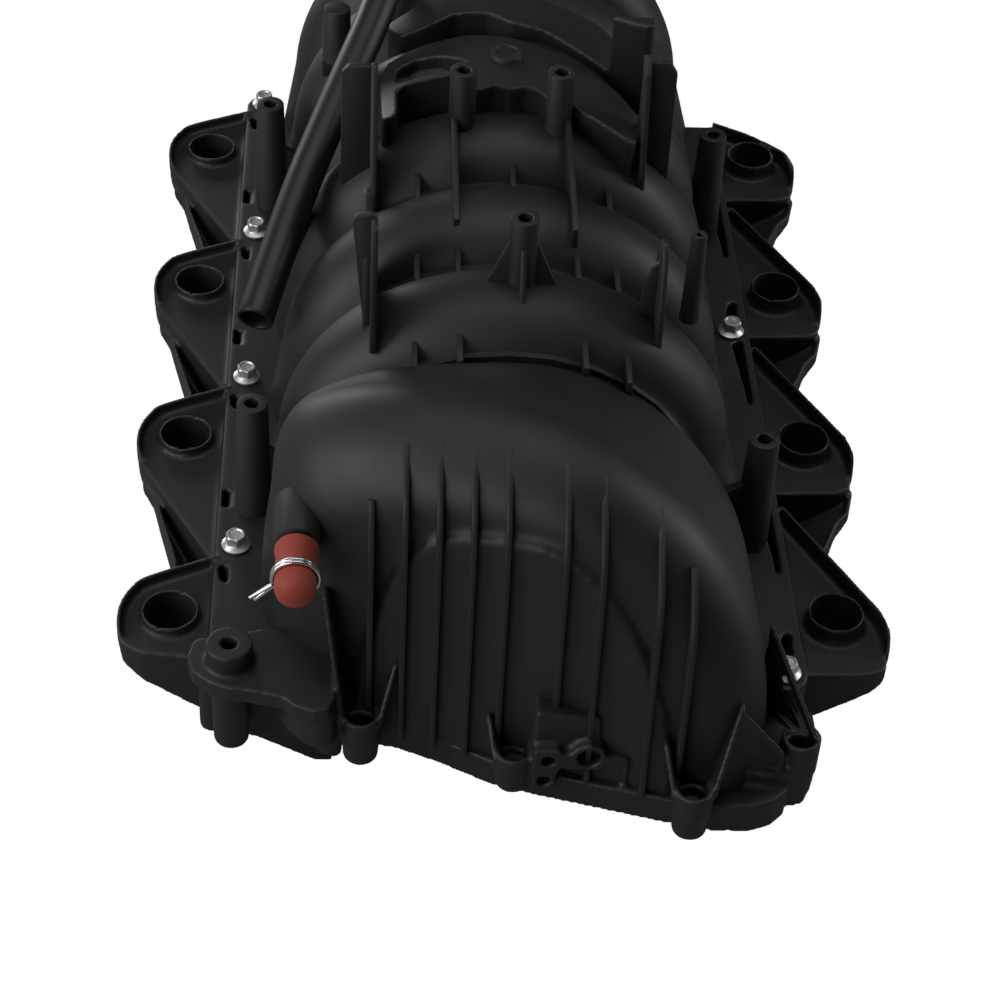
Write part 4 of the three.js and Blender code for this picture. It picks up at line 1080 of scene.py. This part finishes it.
def makeThrottleEnd():
    solid, hollow = bmesh.new(), bmesh.new()
    z, front, back = throttle["z"], throttle["frontY"], throttle["backY"]
    lathe(solid, [(0, back), (throttle["od"] / 2, back), (throttle["od"] / 2, front), (0, front)], (0, 0, z), "y", 72)
    half = throttle["plate"] / 2
    prism(solid, rounded([(-half, z - half), (half, z - half), (half, z + half), (-half, z + half)], 10), "y", front - 12, front)
    prism(solid, rounded([(-58, z - half), (58, z - half), (58, z + half), (-58, z + half)], 12), "y", back, back + 5)
    for turn in range(8):
        a = math.pi / 4 * turn + math.pi / 8
        u = Vector((math.cos(a), math.sin(a)))
        v = Vector((-u.y, u.x)) * 1.4
        corners = [u * 46 - v, u * 53 - v, u * 53 + v, u * 46 + v]
        prism(solid, [(p.x, z + p.y) for p in corners], "y", back + 3, front - 10)
    lathe(hollow, [(0, back - 4), (throttle["bore"] / 2, back - 4), (throttle["bore"] / 2, front + 4), (0, front + 4)], (0, 0, z), "y", 72)
    inner, outer = (d / 2 for d in throttle["seal"])
    lathe(hollow, [(inner, front - 3), (outer, front - 3), (outer, front + 3), (inner, front + 3)], (0, 0, z), "y", 72)
    for sx in (-1, 1):
        for sz in (-1, 1):
            place = (sx * throttle["pitch"] / 2, 0, z + sz * throttle["pitch"] / 2)
            lathe(hollow, [(0, front - 9.3), (throttle["hole"] / 2, front - 9.3), (throttle["hole"] / 2, front + 3), (0, front + 3)], place, "y", 28)
    return moulded([("add", solid), ("cut", hollow)], 0.9, 2)


placePiece(toObject(makeThrottleEnd(), "throttleFlangeMoulding", [flangeNylon], smoothAngle=0), ["throttle_flange"])

# ---- vapour pipe ----
pipe = {
    "od": 16.4, "bore": 12.6,
    "path": [(-108.4, -42, 117.2), (-98.6, -8, 131), (-88.5, 24, 145), (-74.5, 62, 161.5), (-58.5, 105, 178.5), (-46, 148, 193), (-40, 176, 196)],
}
pipeMesh = bmesh.new()
tube(pipeMesh, smoothPath([Vector(p) for p in pipe["path"]], 9), pipe["od"] / 2, 44, pipe["bore"] / 2, 0.5)
placePiece(toObject(pipeMesh, "vapourPipeExtruded", [pipeNylon]), ["vapour_pipe"])

# ---- vacuum cap and its spring clamp ----
cap = {"x": -85.8, "z": 128.4, "tipY": -226.4, "mouthY": -198.0, "od": 16.4, "wall": 2.4}


def makeCap():
    bm = bmesh.new()
    r, tip, mouth = cap["od"] / 2, cap["tipY"], cap["mouthY"]
    profile = [(0, tip)]
    for k in range(1, 10):
        a = math.pi / 2 * k / 9
        profile.append((r * math.sin(a) ** 0.8, tip + 7.0 * (1 - math.cos(a))))
    profile += [(r, tip + 12), (r - 0.15, tip + 15), (r, mouth - 3), (r + 0.5, mouth - 2.2), (r + 0.5, mouth - 0.5), (r, mouth)]
    profile += [(r - cap["wall"] + 0.3, mouth), (r - cap["wall"], mouth - 0.5), (r - cap["wall"], tip + 3), (0, tip + 2.7)]
    lathe(bm, profile, (cap["x"], 0, cap["z"]), "y", 56)
    return bm


def makeClamp():
    # two turns of wire side by side, each running out to a tang
    bm = bmesh.new()
    ringR, wire = cap["od"] / 2 + 0.95, 0.85
    for turn, offset in enumerate((-1.0, 1.0)):
        path = []
        for k in range(61):
            a = math.radians(196 + turn * 14) - math.radians(346) * k / 60
            path.append(Vector((cap["x"] + ringR * math.cos(a), cap["tipY"] + 12.2 + offset * (1 - 0.5 * k / 60), cap["z"] + ringR * math.sin(a))))
        out = (path[0] - Vector((cap["x"], path[0].y, cap["z"]))).normalized()
        tang = [path[0] + out * d + Vector((0, offset * 0.6 * d / 9 - d * 0.10, -d * 0.38)) for d in (9.2, 6, 3, 1.2)]
        tube(bm, tang + path, wire, 14, 0.0, 0.3)
    return bm


placePiece(toObject(makeCap(), "vacuumCapMoulded", [capRubber]), ["vacuum_cap"])
placePiece(toObject(makeClamp(), "capClampWire", [springWire]), ["cap_clamp"])


# ---- fixing bolts: flanged hexagon heads, each attached to its own body ----
bolt = {"seatZ": 63.6, "headZ": 70.2, "flange": 12.4, "hex": 8, "shank": 6, "tipZ": 8, "pitch": 1.0}


def makeBolt(x, y):
    bm = bmesh.new()
    seat, top, r = bolt["seatZ"], bolt["headZ"], bolt["flange"] / 2
    flange = [(0, 0), (r - 0.3, 0), (r, 0.35), (r - 0.1, 0.9), (r - 1.2, 1.6), (4.2, 2.3), (0, 2.3)]
    lathe(bm, flange, (x, y, seat), "z", 48)
    part = bmesh.new()
    rows = []
    for height, scale in ((1.6, 1.0), (5.4, 1.0), (6.1, 0.97), (6.5, 0.9), (6.55, 0.74), (6.1, 0.66), (6.0, 0.3)):
        row = []
        for k in range(48):
            a = 2 * math.pi * k / 48
            hexR = bolt["hex"] / 2 / math.cos((a + 0.3) % (math.pi / 3) - math.pi / 6)
            round_ = bolt["hex"] / 2 * 1.06
            share = clamp((1.0 - scale) / 0.12)
            radius = min(hexR, bolt["hex"] / 2 * 1.12) * (1 - share) + round_ * share
            row.append((x + radius * scale * math.cos(a), y + radius * scale * math.sin(a), seat + height))
        rows.append(row)
    loft(part, rows)
    mergeInto(bm, part)
    shank = [(0, bolt["tipZ"]), (2.0, bolt["tipZ"]), (2.6, bolt["tipZ"] + 1.0)]
    z = bolt["tipZ"] + 1.5
    while z < 34:
        shank += [(3.0, z), (2.55, z + bolt["pitch"] * 0.5)]
        z += bolt["pitch"]
    shank += [(3.0, z), (3.0, seat + 0.2), (0, seat + 0.2)]
    lathe(bm, shank, (x, y, 0), "z", 28)
    return bm


for side in ("left", "right"):
    for k in range(4):
        x = (-1 if side == "left" else 1) * flangeSize["boltX"]
        y = bankY[k] + ears[side]["bolt"] + (0 if side == "left" else 0)
        body = "bolt_" + side + "_" + str(k + 1)
        placePiece(toObject(makeBolt(x, y), body + "Head", [zincSteel]), ["fixing_" + body], body)
print("hardware made")

# ---- finish for the nodes that stay as they are ----
nodeFinish = {
    "runner_core": innerNylon, "throttle_flange": flangeNylon, "lower_shell": flangeNylon,
    "left_port_flange": flangeNylon, "right_port_flange": flangeNylon, "throttle_seal": sealRubber,
    "vapour_pipe": pipeNylon, "vacuum_cap": capRubber, "cap_clamp": springWire,
}
for name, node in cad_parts.items():
    material = nodeFinish.get(name)
    if name.startswith("port_seal"):
        material = sealRubber
    elif name.startswith("throttle_insert"):
        material = brassKnurled
    elif name.startswith(("bolt_sleeve", "fixing_bolt")):
        material = zincSteel
    if material:
        node.data.materials.clear()
        node.data.materials.append(material)
